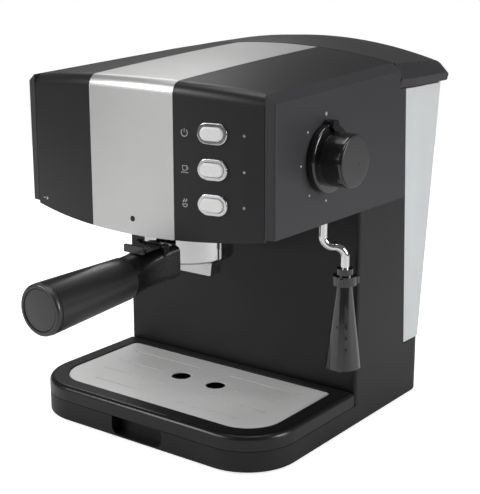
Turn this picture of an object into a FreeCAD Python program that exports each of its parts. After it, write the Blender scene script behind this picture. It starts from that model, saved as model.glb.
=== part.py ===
import FreeCAD, Part
import math
import os

# Espresso machine, millimetres.
# Modelled with x = 0 on its middle plane (+x is the side with the steam knob),
# y = 0 at the front of the base, +y to the back, and z = 0 on the counter.
# export() moves everything so that the origin is under the middle of the
# whole object's box.

Vec = FreeCAD.Vector

# --- driving dimensions: body ---
BODY_W = 230.0            # base, column and head, side to side
BASE_D = 231.5            # base, front to back
HEAD_BOTTOM_Z = 172.4     # underside of the head and its side covers
HEAD_H = 86.1             # from there up to the step that the tank lid covers
FOOT_H = 1.5              # how far the housing stands off the counter
PART_LINE_Z = 17.5        # seam between the lower housing and the drip tray
TRAY_H = 12.0             # tray above that seam
BASE_CORNER_R = 42.0      # front corners of the base, seen from above
BACK_CORNER_R = 12.0
WALL = 2.5                # moulded housings
SEAM = 0.4                # gap along visible seams
COLUMN_FRONT_Y = 126.0
COLUMN_EDGE_R = 3.0
PEDESTAL_TOP_Z = 48.0     # ledge that carries the water tank
PEDESTAL_D = 30.2         # depth of that ledge
BACK_LEAN = 10.9          # the column's back leans forward by this, ledge to step
STEP_D = 8.9              # depth of the step under the lid

# --- driving dimensions: head skin ---
SIDE_COVER_W = 8.0        # thickness of a side cover, seen from the front
STRIPE_HALF_W = 39.0      # light centre panel, half width
FRONT_BOW_R = 416.0       # the front's bow, seen from above
APRON_DROP_MID = 8.7      # the front's lower edge hangs below the head, at the middle
APRON_DROP_END = 2.0      # and at its ends
CROWN_FRONT_H = 103.2     # crown of the top above the head's underside, at the front
CROWN_MIDDLE_H = 110.2    # half way back
CROWN_BACK_H = 115.4      # at the lid
TOP_SAG_FRONT = 6.4       # how much lower the top is at the panels' ends
TOP_SAG_MIDDLE = 9.3
TOP_SAG_BACK = 9.9
TOP_EDGE_R = 9.0          # rounding from the front to the top
PANEL_WALL = 2.5
SIDE_FRONT_Y = 15.4       # front of the side covers, outer face
SIDE_CHAMFER_H = 6.1

# --- driving dimensions: drip tray ---
TRAY_RIM_FRONT = 15.2
TRAY_RIM_SIDE = 14.1
TRAY_RIM_BACK = 11.3
GRILLE_CORNER_R = 28.4
GRILLE_BACK_R = 5.0
GRILLE_SINK = 0.9         # how far the grille lies below the tray's rim
GRILLE_T = 0.9
GRILLE_SKIRT_H = 2.2
DRAIN_HOLE_R = 8.0
DRAIN_HOLE_X = 17.4
DRAIN_HOLE_BACK = 60.0    # from the grille's front edge
SLOT_W = 1.4
# Each row of slots: distance from the grille's front edge, start from the
# middle, and end from the grille's side.
SLOT_ROWS = ((16.3, 14.0, 29.9), (37.8, 13.5, 19.4), (58.8, 36.0, 16.9), (82.3, 14.0, 15.9))
SEAT_LEDGE = 3.0
TRAY_TAB_HALF_W = 6.0
TRAY_TAB_X = 66.0
GRIP_HALF_W = 24.6        # finger recess in the front of the base
GRIP_DEPTH = 9.5
GRIP_BOTTOM_Z = 3.5

# --- driving dimensions: group and filter holder ---
GROUP_Y = 66.0
BOWL_R = 34.0
BOWL_H = 30.0
BOWL_WALL = 4.0
BOWL_TOP_DROP = 7.4       # bowl's rim below the head's underside
BASKET_GAP = 1.4          # basket wall inside the bowl
BASKET_H = 22.0
EAR_REACH = 4.6           # locking ears beyond the bowl
EAR_HALF_ANGLE = 12.0
EAR_DROP = 1.4            # ears below the bowl's rim
EAR_T = 3.0
SKIRT_T = 4.3             # group head's skirt
SKIRT_LIFT = 7.6          # lower edge of the skirt below the bowl's rim
GROUP_TOP_H = 5.6         # top of the group head above the head's underside
SPOUT_H = 12.4
SPOUT_HALF_W = 25.0
SPOUT_HALF_D = 6.0
SPOUT_X = 17.4
NECK_L = 42.0
NECK_R = 15.8
GRIP_L = 78.0
GRIP_R = 18.4             # the black grip at its free end
GRIP_DROP = 5.2           # its end below the bowl's bottom
NECK_DROP = 2.5           # its other end below the bowl's bottom
CAP_T = 4.6
STUD_R = 4.0
CLIP_HALF_W = 10.5
CLIP_PIN_R = 1.5
CLIP_KNUCKLE_R = 2.2
BOILER_R = 33.0
FLANGE_R = 41.0

# --- driving dimensions: steam knob, wand and frother ---
KNOB_Y = 76.5
KNOB_H = 48.1             # knob's axis above the head's underside
KNOB_FLANGE_R = 24.5
KNOB_GRIP_R = 19.0
KNOB_L = 25.0             # knob's face beyond the side cover
STEM_R = 4.0
WAND_INSET = 13.0         # swivel axis inside the body's side
WAND_Y = 95.8
WAND_TUBE_R = 3.25
WAND_BEND_R = 8.0
WAND_DROP = 22.4          # level stretch of the tube below the head
WAND_OFFSET_X = 13.4
WAND_OFFSET_Y = 9.7
NOZZLE_RECESS = 4.4       # nozzle's end above the sleeve's
BALL_R = 5.6
SLEEVE_DROP = 52.0        # sleeve's upper end below the head
SLEEVE_CLEAR = 28.1       # sleeve's lower end above the tray
SLEEVE_TOP_R = 5.75
SLEEVE_BOTTOM_R = 13.5
SLEEVE_WALL = 1.8

# --- driving dimensions: push buttons ---
BUTTON_X = 70.0
BUTTON_H = (69.7, 45.2, 20.8)   # above the head's underside
BUTTON_NAMES = ("power_button", "brew_button", "steam_button")
BEZEL_W = 23.0
BEZEL_H = 15.0
BEZEL_LIP = 2.0
BEZEL_DEPTH = 7.0
BUTTON_TRAVEL = 3.0
LAMP_X = 93.0

# --- driving dimensions: water tank and lid ---
TANK_SIDE_INSET = 0.4     # tank's sides inside the body's sides
TANK_GAP = 0.9            # between the tank and the column
TANK_WALL = 2.0
TANK_RIM_DROP = 1.0       # tank's rim below the step in the head
TANK_BULGE = 21.5         # tank's top behind the base's back
TANK_BEND_Z = 124.0       # its back changes slope here
TANK_BEND_BULGE = 6.9
TANK_FOOT_INSET = 1.2
TANK_FACET_W = 3.0        # the front strip of each side turns in
TANK_FACET_D = 29.4
LID_OVERHANG = 3.0
LID_FRONT_OVERHANG = 0.4
LID_GAP = 0.9             # between the lid and the head's top
LID_LIFT = 0.5            # lid's lower edge above the step
LID_FRONT_H = 29.0        # crown above the lid's lower edge
LID_CROWN_H = 32.6
LID_FACE_D = 75.1         # lid's front to the foot of its steep back
LID_LIP_D = 4.0
LID_BEND_H = 6.5
LID_SLOPE_W = 6.5
LID_WALL = 2.2
LID_PIN_INSET = 1.5
LID_PIN_H = 3.0
LID_PIN_R = 1.2
LID_PIN_REACH = 3.8       # stub pins beyond each lug
LID_KNUCKLE_R = 2.7
LID_LUG_X = 60.0
LID_LUG_HALF_W = 4.0

# --- driving dimensions: pump and cord inlet ---
PUMP_X = -46.0
PUMP_R = 9.0
GLAND_X = -78.0
GLAND_Z = 31.0
GLAND_R = 6.5

# --- clearances ---
RUNNING = 0.06            # a shaft in its hole
FREE = 0.4                # moving faces that must not touch

# --- places that follow ---
HALF_W = BODY_W / 2
PANEL_HALF_W = HALF_W - SIDE_COVER_W
LEDGE_Z = HEAD_BOTTOM_Z + HEAD_H
COLUMN_BACK_Y = BASE_D - PEDESTAL_D
HEAD_BACK_TOP_Y = COLUMN_BACK_Y - BACK_LEAN
PANEL_END_Y = HEAD_BACK_TOP_Y - STEP_D
TOP_FRONT_Z = HEAD_BOTTOM_Z + CROWN_FRONT_H
TOP_MIDDLE_Z = HEAD_BOTTOM_Z + CROWN_MIDDLE_H
TOP_BACK_Z = HEAD_BOTTOM_Z + CROWN_BACK_H
TRAY_TOP_Z = PART_LINE_Z + TRAY_H
GRILLE_TOP_Z = TRAY_TOP_Z - GRILLE_SINK
GRILLE_FRONT_Y = TRAY_RIM_FRONT
GRILLE_BACK_Y = COLUMN_FRONT_Y - TRAY_RIM_BACK
GRILLE_HALF_W = HALF_W - TRAY_RIM_SIDE
BOWL_TOP_Z = HEAD_BOTTOM_Z - BOWL_TOP_DROP
BOWL_BOTTOM_Z = BOWL_TOP_Z - BOWL_H
BOWL_BORE_R = BOWL_R - BOWL_WALL
BASKET_R = BOWL_BORE_R - BASKET_GAP
BASKET_BOTTOM_Z = BOWL_TOP_Z - BASKET_H
EAR_R = BOWL_R + EAR_REACH
EAR_TOP_Z = BOWL_TOP_Z - EAR_DROP
EAR_BOTTOM_Z = EAR_TOP_Z - EAR_T
SKIRT_BORE_R = EAR_R + 0.6
SKIRT_R = SKIRT_BORE_R + SKIRT_T
SKIRT_BOTTOM_Z = BOWL_TOP_Z - SKIRT_LIFT
GROUP_TOP_Z = HEAD_BOTTOM_Z + GROUP_TOP_H
GROUP_PLATE_Z = HEAD_BOTTOM_Z - 1.0
BOWL_FRONT_Y = GROUP_Y - BOWL_R
NECK_SEAM_Y = BOWL_FRONT_Y - NECK_L
NECK_SEAM_Z = BOWL_BOTTOM_Z - NECK_DROP
GRIP_FRONT_Y = NECK_SEAM_Y - GRIP_L
GRIP_FRONT_Z = BOWL_BOTTOM_Z - GRIP_DROP
NECK_TOP_Z = BOWL_BOTTOM_Z + 15.4
CLIP_PIVOT_Y = BOWL_FRONT_Y - 9.0
CLIP_PIVOT_Z = NECK_TOP_Z + 0.2
KNOB_Z = HEAD_BOTTOM_Z + KNOB_H
KNOB_FACE_X = HALF_W + KNOB_L
WAND_X = HALF_W - WAND_INSET
WAND_BEND_Z = HEAD_BOTTOM_Z - WAND_DROP
BALL_Z = HEAD_BOTTOM_Z + 9.6
SLEEVE_TOP_Z = HEAD_BOTTOM_Z - SLEEVE_DROP
SLEEVE_BOTTOM_Z = TRAY_TOP_Z + SLEEVE_CLEAR
WAND_TIP_Z = SLEEVE_BOTTOM_Z + NOZZLE_RECESS
BUTTON_Z = [HEAD_BOTTOM_Z + height for height in BUTTON_H]
TANK_HALF_W = HALF_W - TANK_SIDE_INSET
TANK_TOP_Z = LEDGE_Z - TANK_RIM_DROP
TANK_BOTTOM_Z = PEDESTAL_TOP_Z + 0.6
TANK_TOP_BACK_Y = BASE_D + TANK_BULGE
TANK_BEND_Y = BASE_D + TANK_BEND_BULGE
TANK_BOTTOM_BACK_Y = BASE_D - TANK_FOOT_INSET
TANK_SOCKET_Y = (COLUMN_BACK_Y + TANK_BOTTOM_BACK_Y) / 2
LID_HALF_W = HALF_W + LID_OVERHANG
LID_FRONT_HALF_W = HALF_W + LID_FRONT_OVERHANG
LID_FRONT_Y = PANEL_END_Y + LID_GAP
LID_BOTTOM_Z = LEDGE_Z + LID_LIFT
LID_FACE_Y = LID_FRONT_Y + LID_FACE_D
LID_BACK_Y = LID_FACE_Y + LID_LIP_D
LID_PIN_Y = LID_FACE_Y - LID_PIN_INSET
LID_PIN_Z = LID_BOTTOM_Z + LID_PIN_H
PUMP_Y = (COLUMN_FRONT_Y + HEAD_BACK_TOP_Y) / 2

# The whole object's box: lid end to knob face, grip cap to lid lip.
TIP_Y = GRIP_FRONT_Y - CAP_T
ORIGIN = Vec((KNOB_FACE_X - LID_HALF_W) / 2, (TIP_Y + LID_BACK_Y) / 2, 0)

nodes = {}


# --- shape helpers ---
def box(x0, x1, y0, y1, z0, z1):
    return Part.makeBox(x1 - x0, y1 - y0, z1 - z0, Vec(x0, y0, z0))


def rod(start, end, radius):
    axis = Vec(*end) - Vec(*start)
    return Part.makeCylinder(radius, axis.Length, Vec(*start), axis)


def taper(start, end, start_r, end_r):
    axis = Vec(*end) - Vec(*start)
    return Part.makeCone(start_r, end_r, axis.Length, Vec(*start), axis)


def ring(start, end, outer_r, inner_r):
    return rod(start, end, outer_r).cut(rod(start, end, inner_r))


def rounded_wire(points, radii):
    """A closed outline through points, each corner rounded by its radius."""
    edges = []
    count = len(points)
    starts = []
    ends = []
    middles = []
    for i, corner in enumerate(points):
        to_last = (points[i - 1] - corner).normalize()
        to_next = (points[(i + 1) % count] - corner).normalize()
        radius = radii[i]
        if radius <= 0:
            starts.append(corner)
            ends.append(corner)
            middles.append(None)
            continue
        half_angle = to_last.getAngle(to_next) / 2
        reach = radius / math.tan(half_angle)
        bisector = (to_last + to_next).normalize()
        centre = corner + bisector * (radius / math.sin(half_angle))
        starts.append(corner + to_last * reach)
        ends.append(corner + to_next * reach)
        middles.append(centre - bisector * radius)
    for i in range(count):
        if middles[i] is not None:
            edges.append(Part.Arc(starts[i], middles[i], ends[i]).toShape())
        following = starts[(i + 1) % count]
        if (following - ends[i]).Length > 1e-6:
            edges.append(Part.LineSegment(ends[i], following).toShape())
    return Part.Wire(edges)


def plan_prism(corners, radii, z0, z1):
    """A prism standing on a rounded outline given by (x, y) corners."""
    wire = rounded_wire([Vec(x, y, z0) for x, y in corners], radii)
    return Part.Face(wire).extrude(Vec(0, 0, z1 - z0))


def side_prism(corners, x0, x1):
    """A prism across the object, from (y, z) corners."""
    points = [Vec(x0, y, z) for y, z in corners]
    wire = Part.makePolygon(points + points[:1])
    return Part.Face(wire).extrude(Vec(x1 - x0, 0, 0))


def upright_edges(shape, test):
    """The straight vertical edges whose (x, y) passes a test."""
    found = []
    for edge in shape.Edges:
        direction = edge.lastVertex().Point - edge.firstVertex().Point
        if direction.Length < 1e-6:
            continue
        if abs(abs(direction.z) - direction.Length) > 1e-4:
            continue
        centre = edge.BoundBox.Center
        if test(centre.x, centre.y, centre.z):
            found.append(edge)
    return found


def pipe(points, radius, bend_r):
    """A round bar along straight runs joined by tangent arcs."""
    points = [Vec(*p) for p in points]
    edges = []
    start = points[0]
    for i in range(1, len(points) - 1):
        back = (points[i - 1] - points[i]).normalize()
        ahead = (points[i + 1] - points[i]).normalize()
        half_angle = back.getAngle(ahead) / 2
        reach = bend_r / math.tan(half_angle)
        bisector = (back + ahead).normalize()
        centre = points[i] + bisector * (bend_r / math.sin(half_angle))
        enter = points[i] + back * reach
        leave = points[i] + ahead * reach
        if (enter - start).Length > 1e-6:
            edges.append(Part.LineSegment(start, enter).toShape())
        edges.append(Part.Arc(enter, centre - bisector * bend_r, leave).toShape())
        start = leave
    edges.append(Part.LineSegment(start, points[-1]).toShape())
    path = Part.Wire(edges)
    section = Part.Wire([Part.makeCircle(radius, points[0], points[1] - points[0])])
    return path.makePipeShell([section], True, False)


def joined(first, *rest):
    shape = first
    for other in rest:
        shape = shape.fuse(other)
    return shape.removeSplitter()


def mirrored(shape):
    return shape.mirror(Vec(0, 0, 0), Vec(1, 0, 0))


def add(name, shape):
    nodes[name] = shape


# --- base ---
def base_plan(inset, z0, z1):
    """The base's outline from above, inset by a wall."""
    half = HALF_W - inset
    back = BASE_D - inset
    corners = [(-half, inset), (half, inset), (half, back), (-half, back)]
    front_r = BASE_CORNER_R - inset
    back_r = BACK_CORNER_R - inset
    return plan_prism(corners, [front_r, front_r, back_r, back_r], z0, z1)


SCREW_SPOTS = ((HALF_W - 55, 36), (HALF_W - 15, COLUMN_FRONT_Y - 2), (HALF_W - 23, BASE_D - 9))
SCREW_PLACES = [(side * x, y) for side in (-1, 1) for x, y in SCREW_SPOTS]
FOOT_PLACES = [(side * (HALF_W - 29), y) for side in (-1, 1) for y in (42, BASE_D - 25.5)]
PLATE_BOTTOM_Z = FOOT_H + 0.8
PLATE_TOP_Z = PLATE_BOTTOM_Z + 2.2
DECK_T = 2.2
DECK_BOTTOM_Z = PART_LINE_Z - DECK_T


def grip_recess(grow, z0, z1):
    """The finger recess's outline, grown by a wall; its lower corners are round."""
    half = GRIP_HALF_W + grow
    corners = [Vec(-half, -1, z0 - grow), Vec(half, -1, z0 - grow), Vec(half, -1, z1), Vec(-half, -1, z1)]
    wire = rounded_wire(corners, [6 + grow, 6 + grow, 0, 0])
    return Part.Face(wire).extrude(Vec(0, GRIP_DEPTH + grow + 1, 0))


def make_base():
    outer = base_plan(0, FOOT_H, PART_LINE_Z)
    bottom_edges = [e for e in outer.Edges if e.BoundBox.ZMax < FOOT_H + 0.1]
    outer = outer.makeFillet(1.2, bottom_edges)
    housing = outer.cut(base_plan(WALL, FOOT_H - 1, DECK_BOTTOM_Z))
    shaft = box(-HALF_W + 12, HALF_W - 12, COLUMN_FRONT_Y + 8, BASE_D - 14, DECK_BOTTOM_Z - 1, PART_LINE_Z + 1)
    housing = housing.cut(shaft)
    wrap = grip_recess(2.0, GRIP_BOTTOM_Z, PART_LINE_Z).common(outer)
    housing = housing.fuse(wrap).cut(grip_recess(0, GRIP_BOTTOM_Z, PART_LINE_Z + 1))
    for x, y in SCREW_PLACES:
        boss = rod((x, y, PLATE_TOP_Z), (x, y, DECK_BOTTOM_Z + 0.5), 4.5)
        housing = housing.fuse(boss)
    for x, y in SCREW_PLACES:
        housing = housing.cut(rod((x, y, PLATE_TOP_Z - 1), (x, y, PLATE_TOP_Z + 9.2), 1.5))
    add("base_housing", housing.removeSplitter())

    plate = base_plan(WALL + 0.3, PLATE_BOTTOM_Z, PLATE_TOP_Z)
    plate = plate.cut(box(-GRIP_HALF_W - 3, GRIP_HALF_W + 3, -1, GRIP_DEPTH + 3, 0, 10))
    for x, y in SCREW_PLACES:
        plate = plate.cut(rod((x, y, 0), (x, y, 10), 1.8))
        plate = plate.cut(rod((x, y, 0), (x, y, PLATE_BOTTOM_Z + 1.0), 4.0))
    for x, y in FOOT_PLACES:
        plate = plate.cut(rod((x, y, 0), (x, y, 10), 3.0))
    for i in range(7):
        x = -45 + 15 * i
        plate = plate.cut(box(x - 1.5, x + 1.5, COLUMN_FRONT_Y + 14, BASE_D - 41.5, 0, 10))
    add("base_plate", plate)

    feet = []
    for x, y in FOOT_PLACES:
        pad = rod((x, y, 0), (x, y, PLATE_BOTTOM_Z), 9.0)
        pad = pad.makeFillet(0.6, [e for e in pad.Edges if e.BoundBox.ZMax < 0.1])
        plug = rod((x, y, PLATE_BOTTOM_Z), (x, y, PLATE_TOP_Z + 2), 3.0)
        bulb = taper((x, y, PLATE_TOP_Z), (x, y, PLATE_TOP_Z + 2.5), 4.2, 2.4)
        feet.append(joined(pad, plug, bulb))
    add("rubber_feet", Part.makeCompound(feet))

    screws = []
    for x, y in SCREW_PLACES:
        head = rod((x, y, PLATE_BOTTOM_Z - 0.6), (x, y, PLATE_BOTTOM_Z + 1.0), 3.4)
        slot = box(x - 2.2, x + 2.2, y - 0.4, y + 0.4, PLATE_BOTTOM_Z - 1, PLATE_BOTTOM_Z)
        cross = box(x - 0.4, x + 0.4, y - 2.2, y + 2.2, PLATE_BOTTOM_Z - 1, PLATE_BOTTOM_Z)
        shank = rod((x, y, PLATE_BOTTOM_Z + 0.5), (x, y, PLATE_TOP_Z + 8.5), 1.45)
        screws.append(head.cut(slot).cut(cross).fuse(shank))
    add("base_screws", Part.makeCompound(screws))


# --- column ---
def column_back_y(z):
    """The sloping back of the column and head, at a height."""
    share = (z - PEDESTAL_TOP_Z) / (LEDGE_Z - PEDESTAL_TOP_Z)
    return COLUMN_BACK_Y + share * (HEAD_BACK_TOP_Y - COLUMN_BACK_Y)


def column_form(inset, z0, z1):
    front = COLUMN_FRONT_Y + inset
    profile = [
        (front, z0),
        (front, z1),
        (column_back_y(z1) - inset, z1),
        (column_back_y(PEDESTAL_TOP_Z) - inset, PEDESTAL_TOP_Z - inset),
        (BASE_D - inset, PEDESTAL_TOP_Z - inset),
        (BASE_D - inset, z0),
    ]
    half = HALF_W - inset
    form = side_prism(profile, -half, half)
    front_edges = upright_edges(form, lambda x, y, z: abs(y - front) < 0.1)
    form = form.makeFillet(COLUMN_EDGE_R - min(inset, 2.0), front_edges)
    back_edges = upright_edges(form, lambda x, y, z: abs(y - BASE_D + inset) < 0.1)
    return form.makeFillet(BACK_CORNER_R - inset, back_edges)


TANK_SOCKET_R = 12.0
TAB_Z = PART_LINE_Z + 4.5
TAB_T = 3.2


def make_column():
    outer = column_form(0, PART_LINE_Z, HEAD_BOTTOM_Z)
    inner = column_form(WALL, PART_LINE_Z - 1, HEAD_BOTTOM_Z + 1)
    shell = outer.cut(inner)
    socket_top = (0, TANK_SOCKET_Y, PEDESTAL_TOP_Z + 5)
    shell = shell.cut(rod((0, TANK_SOCKET_Y, PEDESTAL_TOP_Z - 8), socket_top, TANK_SOCKET_R))
    shell = shell.cut(rod((GLAND_X, BASE_D - 10, GLAND_Z), (GLAND_X, BASE_D + 5, GLAND_Z), GLAND_R))
    for side in (-1, 1):
        x = side * TRAY_TAB_X
        half = TRAY_TAB_HALF_W + FREE
        rise = TAB_T / 2 + 2 * FREE
        slot = box(x - half, x + half, COLUMN_FRONT_Y - 6, COLUMN_FRONT_Y + 5, TAB_Z - rise, TAB_Z + rise)
        shell = shell.cut(slot)
    # The ledge that carries the tank is a moulding of its own behind the column.
    behind = box(-HALF_W - 1, HALF_W + 1, COLUMN_BACK_Y - WALL, BASE_D + 1, 0, PEDESTAL_TOP_Z)
    add("column_housing", shell.cut(behind))
    add("tank_pedestal", shell.common(behind))


# --- head skin ---
def front_y(x, inset=0.0):
    """How far back the bowed front lies, at a distance from the middle."""
    radius = FRONT_BOW_R - inset
    return FRONT_BOW_R - math.sqrt(radius * radius - x * x)


def arch_wire(y, half, crown_z, sag, floor_z):
    left = Vec(-half, y, crown_z - sag)
    right = Vec(half, y, crown_z - sag)
    crown = Part.Arc(left, Vec(0, y, crown_z), right).toShape()
    low_right = Vec(half, y, floor_z)
    low_left = Vec(-half, y, floor_z)
    sides = [
        Part.LineSegment(right, low_right).toShape(),
        Part.LineSegment(low_right, low_left).toShape(),
        Part.LineSegment(low_left, left).toShape(),
    ]
    return Part.Wire([crown] + sides)


HEAD_REACH_Y = PANEL_END_Y + 18.5
HEAD_FLOOR_Z = HEAD_BOTTOM_Z - 22.4


def head_form(inset, half=PANEL_HALF_W):
    """The space under the head's wrapped front and top, inset by a wall."""
    stations = ((-8.0, TOP_FRONT_Z - 0.7, TOP_SAG_FRONT), (PANEL_END_Y / 2, TOP_MIDDLE_Z, TOP_SAG_MIDDLE),
                (HEAD_REACH_Y, TOP_BACK_Z + 0.8, TOP_SAG_BACK))
    wires = []
    for y, crown, sag in stations:
        stretch = (half / PANEL_HALF_W) ** 2
        wires.append(arch_wire(y, half, crown - inset, sag * stretch, HEAD_FLOOR_Z))
    loft = Part.makeLoft(wires, True, False)
    end_y = front_y(half, inset)
    low = HEAD_FLOOR_Z - 10
    front = Part.Arc(Vec(-half, end_y, low), Vec(0, inset, low), Vec(half, end_y, low)).toShape()
    back = [Vec(half, HEAD_REACH_Y + 5, low), Vec(-half, HEAD_REACH_Y + 5, low)]
    edges = [
        front,
        Part.LineSegment(Vec(half, end_y, low), back[0]).toShape(),
        Part.LineSegment(back[0], back[1]).toShape(),
        Part.LineSegment(back[1], Vec(-half, end_y, low)).toShape(),
    ]
    plan = Part.Face(Part.Wire(edges)).extrude(Vec(0, 0, CROWN_BACK_H + 60))
    form = loft.common(plan)
    high_edges = [e for e in form.Edges if e.BoundBox.ZMin > LEDGE_Z - 10 and e.Length > half]
    brow = [e for e in high_edges if e.BoundBox.YMax < end_y + 3]
    return form.makeFillet(TOP_EDGE_R - inset, brow)


def apron_cutter():
    """Everything below the arched lower edge of the front panels."""
    half = PANEL_HALF_W + 20
    rise = (APRON_DROP_MID - APRON_DROP_END) * (half / PANEL_HALF_W) ** 2
    middle_z = HEAD_BOTTOM_Z - APRON_DROP_MID
    left = Vec(-half, -20, middle_z + rise)
    right = Vec(half, -20, middle_z + rise)
    arch = Part.Arc(left, Vec(0, -20, middle_z), right).toShape()
    low_right = Vec(half, -20, HEAD_FLOOR_Z - 50)
    low_left = Vec(-half, -20, HEAD_FLOOR_Z - 50)
    edges = [
        arch,
        Part.LineSegment(right, low_right).toShape(),
        Part.LineSegment(low_right, low_left).toShape(),
        Part.LineSegment(low_left, left).toShape(),
    ]
    return Part.Face(Part.Wire(edges)).extrude(Vec(0, HEAD_REACH_Y + 60, 0))


def bow_angle(x):
    return math.degrees(math.asin(x / FRONT_BOW_R))


def on_front(shape, x, z):
    """Turns a shape modelled facing -y at the origin onto the bowed front."""
    placed = shape.copy()
    placed.rotate(Vec(0, 0, 0), Vec(0, 0, 1), bow_angle(x))
    placed.translate(Vec(x, front_y(x), z))
    return placed


def pill(width, height, y0, y1):
    """A bar with fully round ends, lying across the front."""
    half = width / 2
    low = height / 2
    corners = [Vec(-half, y0, -low), Vec(half, y0, -low), Vec(half, y0, low), Vec(-half, y0, low)]
    wire = rounded_wire(corners, [low - 0.01] * 4)
    return Part.Face(wire).extrude(Vec(0, y1 - y0, 0))


def make_front_panels():
    shell = head_form(0).cut(head_form(PANEL_WALL, PANEL_HALF_W + 3)).cut(apron_cutter())
    shell = shell.cut(box(-200, 200, PANEL_END_Y, 300, 0, 400))
    half_seam = SEAM / 2
    edge = STRIPE_HALF_W
    left = shell.common(box(-200, -edge - half_seam, -50, 300, 0, 400))
    centre = shell.common(box(-edge + half_seam, edge - half_seam, -50, 300, 0, 400))
    right = shell.common(box(edge + half_seam, 200, -50, 300, 0, 400))
    for z in BUTTON_Z:
        hole = pill(BEZEL_W - 2 * BEZEL_LIP + 1.2, BEZEL_H - 2 * BEZEL_LIP + 1.2, -6, 8)
        right = right.cut(on_front(hole, BUTTON_X, z))
        right = right.cut(on_front(rod((0, -6, 0), (0, 8, 0), 1.1), LAMP_X, z))
    add("left_front_panel", left)
    add("centre_panel", centre)
    add("right_front_panel", right)


def side_form(inset):
    """The space that a side cover fills, inset by a wall on all but its inner side."""
    inner_x = PANEL_HALF_W + SEAM - (1.0 if inset else 0.0)
    outer_x = HALF_W - inset
    share = (outer_x - inner_x) / SIDE_COVER_W
    slope = (TOP_BACK_Z - TOP_SAG_BACK - TOP_FRONT_Z + TOP_SAG_FRONT) / PANEL_END_Y
    corner_z = TOP_FRONT_Z - TOP_SAG_FRONT

    def outline(x, drop, front):
        bottom = HEAD_BOTTOM_Z + inset
        front = front + inset
        back = PANEL_END_Y - inset
        points = [
            (front, bottom),
            (front, corner_z + slope * front - drop - inset),
            (back, corner_z + slope * back - drop - inset),
            (back, bottom),
        ]
        vectors = [Vec(x, y, z) for y, z in points]
        return Part.makePolygon(vectors + vectors[:1])

    inner = outline(inner_x, 0.0, front_y(PANEL_HALF_W))
    outer = outline(outer_x, SIDE_CHAMFER_H * share, SIDE_FRONT_Y)
    return Part.makeLoft([inner, outer], True, True)


def make_side_covers():
    outer = side_form(0)
    front_edges = [e for e in outer.Edges if e.BoundBox.YMax < SIDE_FRONT_Y + 0.5]
    front_edges = [e for e in front_edges if e.BoundBox.XMin > HALF_W - 0.1]
    front_edges = [e for e in front_edges if e.Length > 50]
    outer = outer.makeFillet(1.5, front_edges)
    cover = outer.cut(side_form(WALL))
    right = cover.cut(rod((HALF_W - 25, KNOB_Y, KNOB_Z), (HALF_W + 15, KNOB_Y, KNOB_Z), STEM_R + 2.0))
    add("left_side_cover", mirrored(cover))
    add("right_side_cover", right)


NUT_NECK_R = 4.3


def make_head_closures():
    inside = head_form(PANEL_WALL + 0.3, PANEL_HALF_W + 3)
    half = PANEL_HALF_W - 0.2
    floor = inside.common(box(-half, half, -20, HEAD_REACH_Y, HEAD_BOTTOM_Z, HEAD_BOTTOM_Z + WALL))
    low = HEAD_BOTTOM_Z - 20
    high = HEAD_BOTTOM_Z + 20
    floor = floor.cut(rod((0, GROUP_Y, low), (0, GROUP_Y, high), SKIRT_R + 0.5))
    floor = floor.cut(rod((WAND_X, WAND_Y, low), (WAND_X, WAND_Y, high), NUT_NECK_R + 0.1))
    back_y = column_back_y(HEAD_BOTTOM_Z)
    shaft_half = HALF_W - 19
    floor = floor.cut(box(-shaft_half, shaft_half, COLUMN_FRONT_Y + 8, back_y - 9, low, high))
    floor = floor.cut(box(-HALF_W, HALF_W, back_y - WALL - 0.3, BASE_D, low, high))
    add("head_underside", floor)

    ledge_back = column_back_y(LEDGE_Z)
    outer = [
        (PANEL_END_Y - 0.3, TOP_BACK_Z + 10), (PANEL_END_Y - 0.3, LEDGE_Z), (ledge_back, LEDGE_Z),
        (back_y, HEAD_BOTTOM_Z)]
    inner = [
        (back_y - WALL, HEAD_BOTTOM_Z), (ledge_back - WALL, LEDGE_Z - WALL),
        (PANEL_END_Y - 0.3 - WALL, LEDGE_Z - WALL), (PANEL_END_Y - 0.3 - WALL, TOP_BACK_Z + 10)]
    back = side_prism(outer + inner, -half, half).common(inside)
    # Its two ends close the head's sides behind the side covers.
    end_skin = [(PANEL_END_Y, HEAD_BOTTOM_Z), (PANEL_END_Y, LEDGE_Z), (ledge_back, LEDGE_Z),
                (back_y, HEAD_BOTTOM_Z)]
    end_hollow = [(PANEL_END_Y - 1, HEAD_BOTTOM_Z - 1), (PANEL_END_Y - 1, LEDGE_Z - WALL),
                  (ledge_back - WALL, LEDGE_Z - WALL), (back_y - WALL, HEAD_BOTTOM_Z - 1)]
    end = side_prism(end_skin, half, HALF_W).cut(side_prism(end_hollow, half - 1, HALF_W - WALL))
    add("head_back_panel", joined(back, end, mirrored(end)).removeSplitter())


# --- drip tray and grille ---
def tray_plan(inset, z0, z1):
    half = HALF_W - inset
    back = COLUMN_FRONT_Y - SEAM - inset
    corners = [(-half, inset), (half, inset), (half, back), (-half, back)]
    front_r = BASE_CORNER_R - inset
    return plan_prism(corners, [front_r, front_r, 2.0, 2.0], z0, z1)


def grille_plan(grow, z0, z1):
    half = GRILLE_HALF_W + grow
    corners = [(-half, GRILLE_FRONT_Y - grow), (half, GRILLE_FRONT_Y - grow),
               (half, GRILLE_BACK_Y + grow), (-half, GRILLE_BACK_Y + grow)]
    front_r = GRILLE_CORNER_R + grow
    back_r = GRILLE_BACK_R + grow
    return plan_prism(corners, [front_r, front_r, back_r, back_r], z0, z1)


TRAY_BOTTOM_Z = PART_LINE_Z + SEAM
TRAY_FLOOR_Z = TRAY_BOTTOM_Z + 2.0
GRILLE_SEAT_Z = GRILLE_TOP_Z - GRILLE_SKIRT_H - 0.3


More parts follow.
